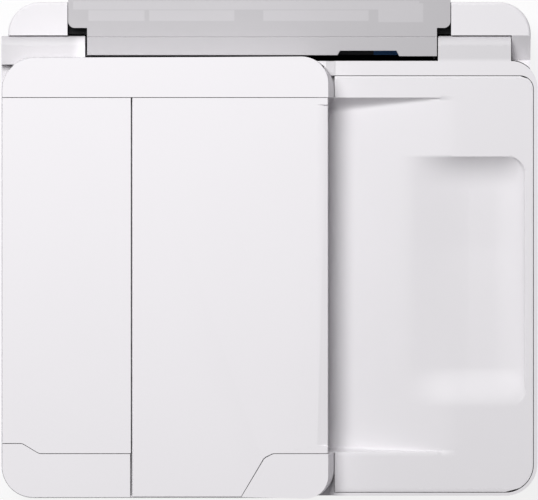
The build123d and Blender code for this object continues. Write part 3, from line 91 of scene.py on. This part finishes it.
def seen_directly(tree):
    """Return a socket that is 1 for camera, glossy and transmission rays and 0 for all others."""
    path = tree.nodes.new("ShaderNodeLightPath")
    total = path.outputs["Is Camera Ray"]
    for name in ("Is Glossy Ray", "Is Transmission Ray"):
        either = tree.nodes.new("ShaderNodeMath")
        either.operation = "MAXIMUM"
        tree.links.new(total, either.inputs[0])
        tree.links.new(path.outputs[name], either.inputs[1])
        total = either.outputs[0]
    return total


fill_light = room.nodes.new("ShaderNodeBackground")
fill_light.inputs["Color"].default_value = room_tint
fill_light.inputs["Strength"].default_value = room_fill
white_room = room.nodes.new("ShaderNodeBackground")
white_room.inputs["Strength"].default_value = full_white
choose = room.nodes.new("ShaderNodeMixShader")
room_out = room.nodes.new("ShaderNodeOutputWorld")
room.links.new(seen_directly(room), choose.inputs[0])
room.links.new(fill_light.outputs[0], choose.inputs[1])
room.links.new(white_room.outputs[0], choose.inputs[2])
room.links.new(choose.outputs[0], room_out.inputs["Surface"])

# Floor: a wide sheet of pale paper under the machine that keeps its soft shadow.
# Most of what the camera sees of it is its own white, and the rest is the light that it gets.
floor_side = 12.0
paper_colour = (0.90, 0.89, 0.91, 1.0)
floor_white = 0.85
bpy.ops.object.select_all(action="DESELECT")
bpy.ops.mesh.primitive_plane_add(size=floor_side, location=(0, 0, 0))
floor = bpy.context.object
floor.name = "floor"
paper = bpy.data.materials.new("floor_paper")
paper.use_nodes = True
tree = paper.node_tree
tree.nodes.clear()
matte = tree.nodes.new("ShaderNodeBsdfDiffuse")
matte.inputs["Color"].default_value = paper_colour
glow = tree.nodes.new("ShaderNodeEmission")
glow.inputs["Strength"].default_value = full_white
share = tree.nodes.new("ShaderNodeMath")
share.operation = "MULTIPLY"
share.inputs[1].default_value = floor_white
blend = tree.nodes.new("ShaderNodeMixShader")
out = tree.nodes.new("ShaderNodeOutputMaterial")
tree.links.new(seen_directly(tree), share.inputs[0])
tree.links.new(share.outputs[0], blend.inputs[0])
tree.links.new(matte.outputs[0], blend.inputs[1])
tree.links.new(glow.outputs[0], blend.inputs[2])
tree.links.new(blend.outputs[0], out.inputs["Surface"])
floor.data.materials.append(paper)

# Lower casing: white moulded shells with a fine even grain from the mould.
# Each shell is the CAD solid with its sharp edges rounded, as a mould leaves them.
shell_white = (0.860, 0.842, 0.866)
shell_roughness = 0.52
drift_scale, gloss_spread = 9.0, 0.05
grain_depth = 0.1 * mm
edge_round = 0.3 * mm
shortest_rounded = 0.9 * mm
edge_steps, outer_steps = 2, 4
sharp_angle, smooth_angle = radians(28), radians(35)
corner_reach, flat_angle = 0.001 * mm, radians(0.5)


def moulded(name, colour, roughness, grain=0.05, grain_size=0.5, mottle=0.02, specular=0.35):
    """Return a moulded plastic with a drifting colour, a fine mould grain and uneven gloss."""
    material = bpy.data.materials.new(name)
    material.use_nodes = True
    tree = material.node_tree
    shader = tree.nodes["Principled BSDF"]
    shader.inputs["Specular IOR Level"].default_value = specular
    place = tree.nodes.new("ShaderNodeTexCoord")
    drift = tree.nodes.new("ShaderNodeTexNoise")
    drift.inputs["Scale"].default_value = drift_scale
    drift.inputs["Detail"].default_value = 3.0
    tint = tree.nodes.new("ShaderNodeMix")
    tint.data_type = "RGBA"
    tint.inputs["A"].default_value = [c * (1 - mottle) for c in colour] + [1.0]
    tint.inputs["B"].default_value = [min(1.0, c * (1 + mottle)) for c in colour] + [1.0]
    gloss = tree.nodes.new("ShaderNodeMapRange")
    gloss.inputs["To Min"].default_value = roughness - gloss_spread
    gloss.inputs["To Max"].default_value = roughness + gloss_spread
    speck = tree.nodes.new("ShaderNodeTexNoise")
    speck.inputs["Scale"].default_value = 1.0 / (grain_size * mm)
    speck.inputs["Detail"].default_value = 2.0
    bump = tree.nodes.new("ShaderNodeBump")
    bump.inputs["Strength"].default_value = grain
    bump.inputs["Distance"].default_value = grain_depth
    link = tree.links.new
    link(place.outputs["Object"], drift.inputs["Vector"])
    link(place.outputs["Object"], speck.inputs["Vector"])
    link(drift.outputs["Fac"], tint.inputs["Factor"])
    link(tint.outputs["Result"], shader.inputs["Base Color"])
    link(drift.outputs["Fac"], gloss.inputs["Value"])
    link(gloss.outputs["Result"], shader.inputs["Roughness"])
    link(speck.outputs["Fac"], bump.inputs["Height"])
    link(bump.outputs["Normal"], shader.inputs["Normal"])
    return material


def dress(material, *names):
    """Give CAD nodes that keep their own mesh a material."""
    for name in names:
        data = nodes[name].data
        data.materials.clear()
        data.materials.append(material)


def round_edges(piece, width, steps, chosen):
    """Bevel the sharp edges of a piece that are long enough and that the test chooses."""
    bpy.ops.object.mode_set(mode="EDIT")
    bpy.ops.mesh.select_all(action="DESELECT")
    bpy.ops.mesh.edges_select_sharp(sharpness=sharp_angle)
    bpy.ops.object.mode_set(mode="OBJECT")
    corners = piece.data.vertices
    for edge in piece.data.edges:
        if edge.select:
            a, b = (corners[i].co for i in edge.vertices)
            edge.select = (a - b).length > shortest_rounded and chosen(a, b)
    bpy.ops.object.mode_set(mode="EDIT")
    bpy.ops.mesh.bevel(offset=width, offset_type="OFFSET", segments=steps, profile=0.5,
                       clamp_overlap=True)
    bpy.ops.object.mode_set(mode="OBJECT")


def rounded_copy(name, material, width=edge_round, outer=None, outer_width=0.0, trim=None):
    """Copy a CAD solid, merge its triangles, round its sharp edges and put it in the solid's place.

    The trim moves its corners first, and the outer edges get a rounding of their own.
    """
    bpy.ops.object.select_all(action="DESELECT")
    data = nodes[name].data.copy()
    data.materials.clear()
    data.materials.append(material)
    piece = bpy.data.objects.new(name + "_finished", data)
    bpy.context.collection.objects.link(piece)
    bpy.context.view_layer.objects.active = piece
    piece.select_set(True)
    bpy.ops.object.mode_set(mode="EDIT")
    bpy.ops.mesh.select_mode(type="EDGE")
    bpy.ops.mesh.select_all(action="SELECT")
    bpy.ops.mesh.remove_doubles(threshold=corner_reach)
    bpy.ops.mesh.dissolve_limited(angle_limit=flat_angle, delimit={"NORMAL"})
    bpy.ops.object.mode_set(mode="OBJECT")
    if trim:
        for vertex in data.vertices:
            vertex.co = trim(vertex.co)
    if outer:
        round_edges(piece, outer_width, outer_steps, outer)
    round_edges(piece, width, edge_steps, lambda a, b: not outer or not outer(a, b))
    bpy.ops.object.shade_smooth_by_angle(angle=smooth_angle)
    level_faces = piece.modifiers.new("level_faces", "WEIGHTED_NORMAL")
    level_faces.weight = 100
    level_faces.keep_sharp = True
    bpy.ops.object.modifier_apply(modifier="level_faces")
    body = next(b for b, held in frame["record"]["behaviour"]["bodies"].items() if name in held)
    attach(piece, body)
    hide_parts(name)
    return piece


white_plastic = moulded("white_plastic", shell_white, shell_roughness)
for name in ("left_side_cover", "right_side_cover", "rear_cover", "front_frame"):
    rounded_copy(name, white_plastic)

# Base pan and inner cover: grey moulded parts, screwed together round the print engine.
# Their edges are a little rounder than those of the white shells.
pan_round = 0.4 * mm
grey_plastic = moulded("grey_plastic", (0.50, 0.505, 0.53), 0.5, mottle=0.03)
for name in ("inner_cover", "base_pan"):
    rounded_copy(name, grey_plastic, pan_round)

# Rubber feet: four round black pads, pressed into the pan.
# The rubber is dull and slightly uneven.
black_rubber = moulded("black_rubber", (0.05, 0.05, 0.055), 0.8, grain=0.2, mottle=0.12,
                       specular=0.2)
dress(black_rubber, "rubber_feet")

# Hinge line: brackets of zinc-plated sheet, screwed to the casing, and ground steel pins.
# The plating is slightly blotched and drawn along the sheet.
drawn_scale = 90.0
blotch_dark, blotch_pale = 0.9, 1.08
duller, shinier = 0.08, 0.06
scratch_share, scratch_depth = 0.08, 0.05 * mm


def plated_steel(name, colour, roughness, stretch=(1.0, 14.0, 14.0)):
    """Return a plated or ground steel with faint drawn lines and blotches."""
    material = bpy.data.materials.new(name)
    material.use_nodes = True
    tree = material.node_tree
    shader = tree.nodes["Principled BSDF"]
    shader.inputs["Metallic"].default_value = 1.0
    place = tree.nodes.new("ShaderNodeTexCoord")
    draw = tree.nodes.new("ShaderNodeMapping")
    draw.inputs["Scale"].default_value = stretch
    lines = tree.nodes.new("ShaderNodeTexNoise")
    lines.inputs["Scale"].default_value = drawn_scale
    lines.inputs["Detail"].default_value = 4.0
    tint = tree.nodes.new("ShaderNodeMix")
    tint.data_type = "RGBA"
    tint.inputs["A"].default_value = [c * blotch_dark for c in colour] + [1.0]
    tint.inputs["B"].default_value = [c * blotch_pale for c in colour] + [1.0]
    gloss = tree.nodes.new("ShaderNodeMapRange")
    gloss.inputs["To Min"].default_value = roughness - shinier
    gloss.inputs["To Max"].default_value = roughness + duller
    bump = tree.nodes.new("ShaderNodeBump")
    bump.inputs["Strength"].default_value = scratch_share
    bump.inputs["Distance"].default_value = scratch_depth
    link = tree.links.new
    link(place.outputs["Object"], draw.inputs["Vector"])
    link(draw.outputs["Vector"], lines.inputs["Vector"])
    link(lines.outputs["Fac"], tint.inputs["Factor"])
    link(tint.outputs["Result"], shader.inputs["Base Color"])
    link(lines.outputs["Fac"], gloss.inputs["Value"])
    link(gloss.outputs["Result"], shader.inputs["Roughness"])
    link(lines.outputs["Fac"], bump.inputs["Height"])
    link(bump.outputs["Normal"], shader.inputs["Normal"])
    return material


zinc = plated_steel("zinc_plate", (0.56, 0.57, 0.59), 0.38)
ground_steel = plated_steel("ground_steel", (0.62, 0.62, 0.64), 0.22, (2.0, 30.0, 30.0))
dress(zinc, "hinge_brackets", "bracket_screws")
dress(ground_steel, "hinge_pins")

# Scanner unit: a white case and frame that hold two clear glass plates over a black sensor bar.
# A plated steel arm holds it open, and the glass is bonded in from above.
glass_tint, glass_index = (0.86, 0.93, 0.92, 1.0), 1.52
haze_scale, clearest, haziest = 25.0, 0.01, 0.05
ripple_share = 0.01
for name in ("scanner_case", "scanner_top"):
    rounded_copy(name, white_plastic)
dress(zinc, "stay_arm")
black_plastic = moulded("black_plastic", (0.013, 0.013, 0.016), 0.5, mottle=0.12, specular=0.2)
dress(black_plastic, "scan_carriage")
glass = bpy.data.materials.new("float_glass")
glass.use_nodes = True
tree = glass.node_tree
shader = tree.nodes["Principled BSDF"]
shader.inputs["Base Color"].default_value = glass_tint
shader.inputs["Transmission Weight"].default_value = 1.0
shader.inputs["IOR"].default_value = glass_index
place = tree.nodes.new("ShaderNodeTexCoord")
haze = tree.nodes.new("ShaderNodeTexNoise")
haze.inputs["Scale"].default_value = haze_scale
film = tree.nodes.new("ShaderNodeMapRange")
film.inputs["To Min"].default_value = clearest
film.inputs["To Max"].default_value = haziest
ripple = tree.nodes.new("ShaderNodeBump")
ripple.inputs["Strength"].default_value = ripple_share
ripple.inputs["Distance"].default_value = grain_depth
tree.links.new(place.outputs["Object"], haze.inputs["Vector"])
tree.links.new(haze.outputs["Fac"], film.inputs["Value"])
tree.links.new(film.outputs["Result"], shader.inputs["Roughness"])
tree.links.new(haze.outputs["Fac"], ripple.inputs["Height"])
tree.links.new(ripple.outputs["Normal"], shader.inputs["Normal"])
dress(glass, "platen_glass")

# Rear paper chute: a black moulding behind the scanner unit, with two guides that slide in it.
# All three are of the same matt black plastic as the sensor bar.
for name in ("rear_tray", "left_paper_guide", "right_paper_guide"):
    rounded_copy(name, black_plastic)

# Lid: a white moulded frame that closes on the glass, with a white foam pad glued below it.
# Painted shade darkens its hinge hoods, against the light that the feeder's rear wall throws onto
# them, and the low corner beside the feeder, where the feeder's shade falls.
# Each place of painted shade has its plan rectangle in millimetres, its share of the white and its
# soft edge.
painted_shade_places = (((-206.0, -150.0, 130.0, 166.0), 0.80, 9 * mm),
               ((124.0, 184.0, 144.0, 166.0), 0.84, 4 * mm),
               ((43.0, 49.4, 131.0, 142.5), 0.78, 0.8 * mm))


def window(tree, value, low, high, soft):
    """Return a socket that is 1 between two values and falls smoothly to 0 outside them."""
    both = tree.nodes.new("ShaderNodeMath")
    both.operation = "MULTIPLY"
    for side, (start, end) in enumerate(((low - soft, low), (high + soft, high))):
        step = tree.nodes.new("ShaderNodeMapRange")
        step.interpolation_type = "SMOOTHSTEP"
        step.inputs["From Min"].default_value = start
        step.inputs["From Max"].default_value = end
        tree.links.new(value, step.inputs["Value"])
        tree.links.new(step.outputs["Result"], both.inputs[side])
    return both.outputs[0]


def tinted_places(material, places, lift, soft):
    """Scale a material's colour inside some plan rectangles, in millimetres as x, x, y, y."""
    tree = material.node_tree
    shader = tree.nodes["Principled BSDF"]
    colour = shader.inputs["Base Color"].links[0].from_socket
    place = tree.nodes.new("ShaderNodeTexCoord")
    axes = tree.nodes.new("ShaderNodeSeparateXYZ")
    tree.links.new(place.outputs["Object"], axes.inputs["Vector"])
    total = None
    for x0, x1, y0, y1 in places:
        pad = tree.nodes.new("ShaderNodeMath")
        pad.operation = "MULTIPLY"
        tree.links.new(window(tree, axes.outputs["X"], x0 * mm, x1 * mm, soft), pad.inputs[0])
        tree.links.new(window(tree, axes.outputs["Y"], y0 * mm, y1 * mm, soft), pad.inputs[1])
        if total is None:
            total = pad.outputs[0]
        else:
            either = tree.nodes.new("ShaderNodeMath")
            either.operation = "MAXIMUM"
            tree.links.new(total, either.inputs[0])
            tree.links.new(pad.outputs[0], either.inputs[1])
            total = either.outputs[0]
    scaled = tree.nodes.new("ShaderNodeMix")
    scaled.data_type = "RGBA"
    scaled.blend_type = "MULTIPLY"
    scaled.inputs["B"].default_value = (lift, lift, lift, 1.0)
    scaled.clamp_result = False
    tree.links.new(total, scaled.inputs["Factor"])
    tree.links.new(colour, scaled.inputs["A"])
    tree.links.new(scaled.outputs["Result"], shader.inputs["Base Color"])


lid_plastic = moulded("lid_plastic", shell_white, shell_roughness)
# Paint the shade into the lid's white, one place at a time.
for rectangle, painted_shade_share, soft_edge in painted_shade_places:
    tinted_places(lid_plastic, (rectangle,), painted_shade_share, soft_edge)
rounded_copy("lid_frame", lid_plastic)
foam = moulded("white_foam", (0.88, 0.88, 0.87), 0.85, grain=0.3, grain_size=0.8, mottle=0.015,
               specular=0.1)
dress(foam, "lid_pad")

# Output ramp: one thin white moulded panel, clipped into the lid, that falls towards the feeder.
# A shallow scoop for the fingers deepens to its right and its rear.
# Its top is a fine grid pushed down to both, with a rim turned down all round it.
feeder_low, feeder_high = (Vector(corner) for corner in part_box("feeder_housing"))
feeder_flange = 4.5 * mm
feeder_right = feeder_high.x - feeder_flange
panel_low, panel_high = (Vector(corner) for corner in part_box("output_panel"))
level = panel_high.z
feeder_seam = 0.5 * mm
visible_x = feeder_high.x + feeder_seam
crease_x = 136.0 * mm
crease_blend = 7.0 * mm
ramp_drop = 13.6 * mm
ramp_y = (-153.1 * mm, 113.7 * mm)
# A wall's lean is its run, and its foot the reach of the round below it, as shares of its fall.
rear_lean, rear_foot = 0.60, 0.5
front_lean, front_foot = 0.22, 0.25
least_foot = 0.1 * mm
scoop_x = 192.2 * mm
scoop_y = (-119.0 * mm, 69.4 * mm)
shallow_x, shallow_drop = 98 * mm, 4.6 * mm
deep_x, deep_drop = 150 * mm, 9.8 * mm
# The scoop's walls reach its floor within their runs, and the floor rises towards the front.
rear_run, right_run, front_run = 26 * mm, 24 * mm, 30 * mm
rear_power = 2.7
front_share, rise_run = 0.55, 120 * mm
scoop_corner = 14 * mm
scoop_foot = 2.0 * mm
straight_share = 0.6
rear_corner, front_corner = 9.8 * mm, 20.8 * mm
panel_skin = 0.9 * mm
rim_depth = 2.0 * mm
rim_round = 0.35 * mm
rim_angle, panel_angle = radians(60), radians(40)


def smooth_step(t):
    """Return a share that rises from 0 to 1 with a flat start and end."""
    return t * t * (3 - 2 * t)


def soft_max(a, b, reach):
    """Return the larger of two heights, with a round foot of the given reach between them."""
    gap = abs(a - b)
    return max(a, b) + (reach * max(0.0, 1 - gap / reach) ** 2) / 4


def scoop_share(x, y):
    """Return how far down the scoop's walls a place lies: 0 at the rim, 1 on the floor."""
    across, down, up = scoop_x - x, scoop_y[1] - y, y - scoop_y[0]
    if across <= 0 or down <= 0 or up <= 0:
        return 0.0
    right_fall = sqrt(1 - max(0.0, 1 - across / right_run) ** 2)
    rear_fall = 1 - max(0.0, 1 - down / rear_run) ** rear_power
    floor_rise = front_share + (1 - front_share) * min(1.0, up / rise_run)
    front_fall = smooth_step(min(1.0, up / front_run)) * floor_rise
    share = right_fall * rear_fall * front_fall
    near = min(down, up)
    if across < scoop_corner and near < scoop_corner:
        inside = scoop_corner - hypot(scoop_corner - across, scoop_corner - near)
        share = min(share, sqrt(1 - max(0.0, 1 - max(0.0, inside) / rear_run) ** 2))
    return share


def panel_height(x, y):
    """Return the height of the panel's top at a place."""
    if not ramp_y[0] < y < ramp_y[1]:
        return level
    left_of_crease = max(0.0, crease_x - x)
    if abs(crease_x - x) < crease_blend:
        left_of_crease = (crease_x - x + crease_blend) ** 2 / (4 * crease_blend)
    drop = ramp_drop * min(1.0, left_of_crease / (crease_x - feeder_right))
    rear_wall = drop - (ramp_y[1] - y) / rear_lean
    front_wall = drop - (y - ramp_y[0]) / front_lean
    wall, foot = (rear_wall, rear_foot) if rear_wall > front_wall else (front_wall, front_foot)
    ramp = min(level, level - drop + soft_max(0.0, wall, max(least_foot, foot * drop)))
    reach = min(1.0, max(0.0, (x - shallow_x) / (deep_x - shallow_x)))
    reach = straight_share * reach + (1 - straight_share) * smooth_step(reach)
    scoop_drop = shallow_drop + (deep_drop - shallow_drop) * reach
    sunk = -soft_max(drop - level, scoop_drop - level, scoop_foot)
    return ramp - (ramp - min(ramp, sunk)) * scoop_share(x, y)


def stepped(stops, counts):
    """Return places that divide each stretch between two stops evenly."""
    places = []
    for (a, b), count in zip(zip(stops, stops[1:]), counts):
        places += [a + (b - a) * i / count for i in range(count)]
    return places + [stops[-1]]


columns = stepped((panel_low.x, visible_x, crease_x, scoop_x - right_run, scoop_x, panel_high.x),
                  (18, 62, 24, 32, 5))
rows = stepped((panel_low.y, ramp_y[0], scoop_y[0], scoop_y[0] + front_run,
                scoop_y[1] - rear_run, scoop_y[1], ramp_y[1], panel_high.y),
               (10, 34, 36, 34, 36, 34, 8))
bpy.ops.object.select_all(action="DESELECT")
bpy.ops.mesh.primitive_grid_add(x_subdivisions=len(columns) - 1, y_subdivisions=len(rows) - 1,
                                size=2.0)
panel = bpy.context.object
panel.name = "output_panel_finished"
for vertex in panel.data.vertices:
    i = round((vertex.co.x + 1) / 2 * (len(columns) - 1))
    j = round((vertex.co.y + 1) / 2 * (len(rows) - 1))
    x, y = columns[i], rows[j]
    edge = 0.0
    for radius, past in ((rear_corner, y - panel_high.y + rear_corner),
                         (front_corner, panel_low.y + front_corner - y)):
        if past > 0:
            edge = radius - sqrt(max(0.0, radius ** 2 - past ** 2))
    z = panel_height(x, y)
    if x > crease_x:
        x -= edge * (x - crease_x) / (panel_high.x - crease_x)
    vertex.co = (x, y, z)
bpy.ops.object.mode_set(mode="EDIT")
bpy.ops.mesh.select_mode(type="FACE")
bpy.ops.mesh.select_all(action="DESELECT")
bpy.ops.object.mode_set(mode="OBJECT")
for face in panel.data.polygons:
    centre = face.center
    face.select = centre.x < visible_x and not ramp_y[0] < centre.y < ramp_y[1]
bpy.ops.object.mode_set(mode="EDIT")
bpy.ops.mesh.delete(type="FACE")
bpy.ops.mesh.select_all(action="SELECT")
bpy.ops.mesh.region_to_loop()
bpy.ops.mesh.extrude_region_move(TRANSFORM_OT_translate={"value": (0, 0, -rim_depth)})
bpy.ops.object.mode_set(mode="OBJECT")
panel.data.materials.append(white_plastic)
solid = panel.modifiers.new("wall", "SOLIDIFY")
solid.thickness = panel_skin
solid.offset = -1.0
rim = panel.modifiers.new("rim", "BEVEL")
rim.width = rim_round
rim.segments = 2
rim.limit_method = "ANGLE"
rim.angle_limit = rim_angle
for name in ("wall", "rim"):
    bpy.ops.object.modifier_apply(modifier=name)
bpy.ops.object.shade_smooth_by_angle(angle=panel_angle)
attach(panel, "lid")
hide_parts("output_panel")

# Document feeder: a white moulded housing, a hinged cover over its rollers and a folding tray.
# Its outer walls lean inward towards the top, and the top's outer edge is rounder than the seams.
# The rollers are black rubber on their axles, and the document guides are dark blue.
wall_draft, draft_end, draft_fade = 1.2 * mm, 20 * mm, 40 * mm
outline_slack, rim_slack = 0.25 * mm, 0.3 * mm
gradient_step = 0.2 * mm
top_slack = 0.1 * mm
seam_round, rim_width = 0.42 * mm, 0.8 * mm
# The plan's corner radii, by side (-1 left, 1 right) and end (-1 front, 1 rear).
feeder_radii = {(-1, 1): 25 * mm, (1, 1): 20 * mm, (1, -1): 17 * mm, (-1, -1): 24 * mm}


def inside_feeder(point):
    """Return how far a place lies inside the feeder's plan outline."""
    side = 1 if point.x > (feeder_low.x + feeder_right) / 2 else -1
    end = 1 if point.y > (feeder_low.y + feeder_high.y) / 2 else -1
    across = feeder_right - point.x if side > 0 else point.x - feeder_low.x
    along = feeder_high.y - point.y if end > 0 else point.y - feeder_low.y
    radius = feeder_radii[side, end]
    if across < radius and along < radius:
        return radius - hypot(radius - across, radius - along)
    return min(across, along)


def drafted(co):
    """Lean the feeder's outer walls inward towards their top, less and less towards the ramp."""
    depth = inside_feeder(co)
    if abs(depth) > outline_slack:
        return co
    share = (co.z - feeder_low.z) / (feeder_high.z - feeder_low.z)
    share *= min(1.0, max(0.0, (draft_end - co.x) / draft_fade))
    across = inside_feeder(co + Vector((gradient_step, 0, 0))) - depth
    along = inside_feeder(co + Vector((0, gradient_step, 0))) - depth
    inward = Vector((across, along, 0))
    return co + inward.normalized() * (wall_draft * share)


def feeder_rim(a, b):
    """Choose the edges that run round the top of the feeder's outline."""
    on_top = min(a.z, b.z) > feeder_high.z - top_slack
    depths = (inside_feeder(a), inside_feeder(b))
    return on_top and min(depths) > -rim_slack and max(depths) < wall_draft + rim_slack


# The feeder's white is the shells' white made 7.5 percent lighter: painted light on its high top.
feeder_white_painted_light = moulded("feeder_white_painted_light", (0.925, 0.905, 0.93), shell_roughness)
for name in ("feeder_housing", "feeder_cover", "document_tray"):
    rounded_copy(name, feeder_white_painted_light, seam_round, feeder_rim, rim_width, drafted)
dress(black_rubber, "feeder_roller", "pickup_roller")
dark_blue = moulded("dark_blue_plastic", (0.012, 0.037, 0.093), 0.45, mottle=0.08, specular=0.2)
for name in ("rear_document_guide", "front_document_guide"):
    rounded_copy(name, dark_blue)

# Rear slot cover and its paper support: smoke-grey moulded plates, hinged at the rear.
# The cover has paler pads, each given by its plan rectangle in millimetres.
cover_pads = ((-135.5, -94.5, 171.9, 178.7), (-89.8, -27.0, 171.9, 178.7),
              (-4.0, 74.0, 171.9, 178.7), (82.5, 115.0, 171.0, 184.0),
              (-147.0, 112.0, 180.5, 185.8))
cover_pad_lift = 1.12
cover_pad_soft = 1.2 * mm
cover_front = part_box("rear_tray_cover")[0][1]
cover_trim, notch_trim = 1.0 * mm, 0.15 * mm
front_slack = 0.05 * mm
flap_middle = 75 * mm


def trimmed_front(co):
    """Set the cover's front edge back, further to the left of the flap than to its right."""
    if co.y > cover_front + front_slack:
        return co
    return co + Vector((0, cover_trim if co.x < flap_middle else notch_trim, 0))


smoke = moulded("smoke_plastic", (0.51, 0.498, 0.515), 0.35, mottle=0.02, specular=0.4)
tinted_places(smoke, cover_pads, cover_pad_lift, cover_pad_soft)
rounded_copy("rear_tray_cover", smoke, trim=trimmed_front)
clear_smoke = moulded("support_plastic", (0.42, 0.41, 0.425), 0.35, mottle=0.02, specular=0.4)
dress(clear_smoke, "paper_support")

# Slot flap: a black moulded strip that turns on pins below the cover's notch.
# Its right end has a dark blue stretch.
blue_start, blue_end, blue_edge = 78.6 * mm, 200 * mm, 0.3 * mm
flap_blue = (0.022, 0.075, 0.19, 1.0)
flap_black = moulded("flap_plastic", (0.010, 0.010, 0.013), 0.45, mottle=0.1, specular=0.15)
tree = flap_black.node_tree
shader = tree.nodes["Principled BSDF"]
blue_part = tree.nodes.new("ShaderNodeMix")
blue_part.data_type = "RGBA"
blue_part.inputs["B"].default_value = flap_blue
place = tree.nodes.new("ShaderNodeTexCoord")
axes = tree.nodes.new("ShaderNodeSeparateXYZ")
tree.links.new(place.outputs["Object"], axes.inputs["Vector"])
blue_share = window(tree, axes.outputs["X"], blue_start, blue_end, blue_edge)
tree.links.new(blue_share, blue_part.inputs["Factor"])
tree.links.new(shader.inputs["Base Color"].links[0].from_socket, blue_part.inputs["A"])
tree.links.new(blue_part.outputs["Result"], shader.inputs["Base Color"])
dress(flap_black, "feed_slot_cover")

# Operation panel: a glossy black moulded front that tilts up on two pins.
# It holds a display behind glass, five grey buttons and a green one to start.
panel_round = 0.6 * mm
gloss_black = moulded("gloss_black", (0.018, 0.018, 0.021), 0.14, grain=0.02, mottle=0.1,
                      specular=0.5)
rounded_copy("operation_panel", gloss_black, panel_round)
screen = moulded("display_glass", (0.010, 0.014, 0.024), 0.06, grain=0.01, mottle=0.1,
                 specular=0.5)
dress(screen, "display")
button_grey = moulded("button_grey", (0.30, 0.31, 0.33), 0.4, mottle=0.05)
for name in ("power_button", "left_button", "ok_button", "right_button", "stop_button"):
    rounded_copy(name, button_grey)
start_green = moulded("start_green", (0.08, 0.36, 0.19), 0.4, mottle=0.05)
rounded_copy("start_button", start_green)

# Output tray and cassette: a grey tray with a folding stop above a smoke-grey drawer.
# Both slide out of the front, and the drawer has a white front and two sliding guides.
for name in ("output_tray", "output_stop"):
    rounded_copy(name, grey_plastic)
smoke_tray = moulded("cassette_smoke", (0.17, 0.18, 0.20), 0.35, mottle=0.05, specular=0.45)
for name in ("cassette", "left_cassette_guide", "right_cassette_guide"):
    rounded_copy(name, smoke_tray)
rounded_copy("cassette_front", white_plastic)

# Print engine: a plated steel chassis with a ground rail for the black carriage and its inks.
# A rubber belt on acetal pulleys draws the carriage, and rubber rollers feed the paper.
# The green main board and the power supply in its plated case sit beside it.
dress(zinc, "main_chassis", "drive_motors", "power_supply")
dress(ground_steel, "guide_rail")
dress(black_plastic, "platen", "carriage")
belt_black = moulded("belt_rubber", (0.03, 0.03, 0.033), 0.7, grain=0.25, mottle=0.1, specular=0.2)
dress(belt_black, "carriage_belt")
acetal = moulded("natural_acetal", (0.76, 0.76, 0.72), 0.42, mottle=0.02)
dress(acetal, "feed_pinion", "drive_pulley", "idler_pulley")
dress(black_rubber, "feed_roller", "output_roller")
solder_green = moulded("solder_mask", (0.03, 0.20, 0.09), 0.3, grain=0.15, grain_size=1.2,
                       mottle=0.12, specular=0.5)
dress(solder_green, "logic_board")
ink_black = moulded("ink_black", (0.03, 0.03, 0.034), 0.4, mottle=0.1)
ink_grey = moulded("ink_grey", (0.12, 0.13, 0.16), 0.4, mottle=0.1)
rounded_copy("black_cartridge", ink_black)
rounded_copy("colour_cartridge", ink_grey)
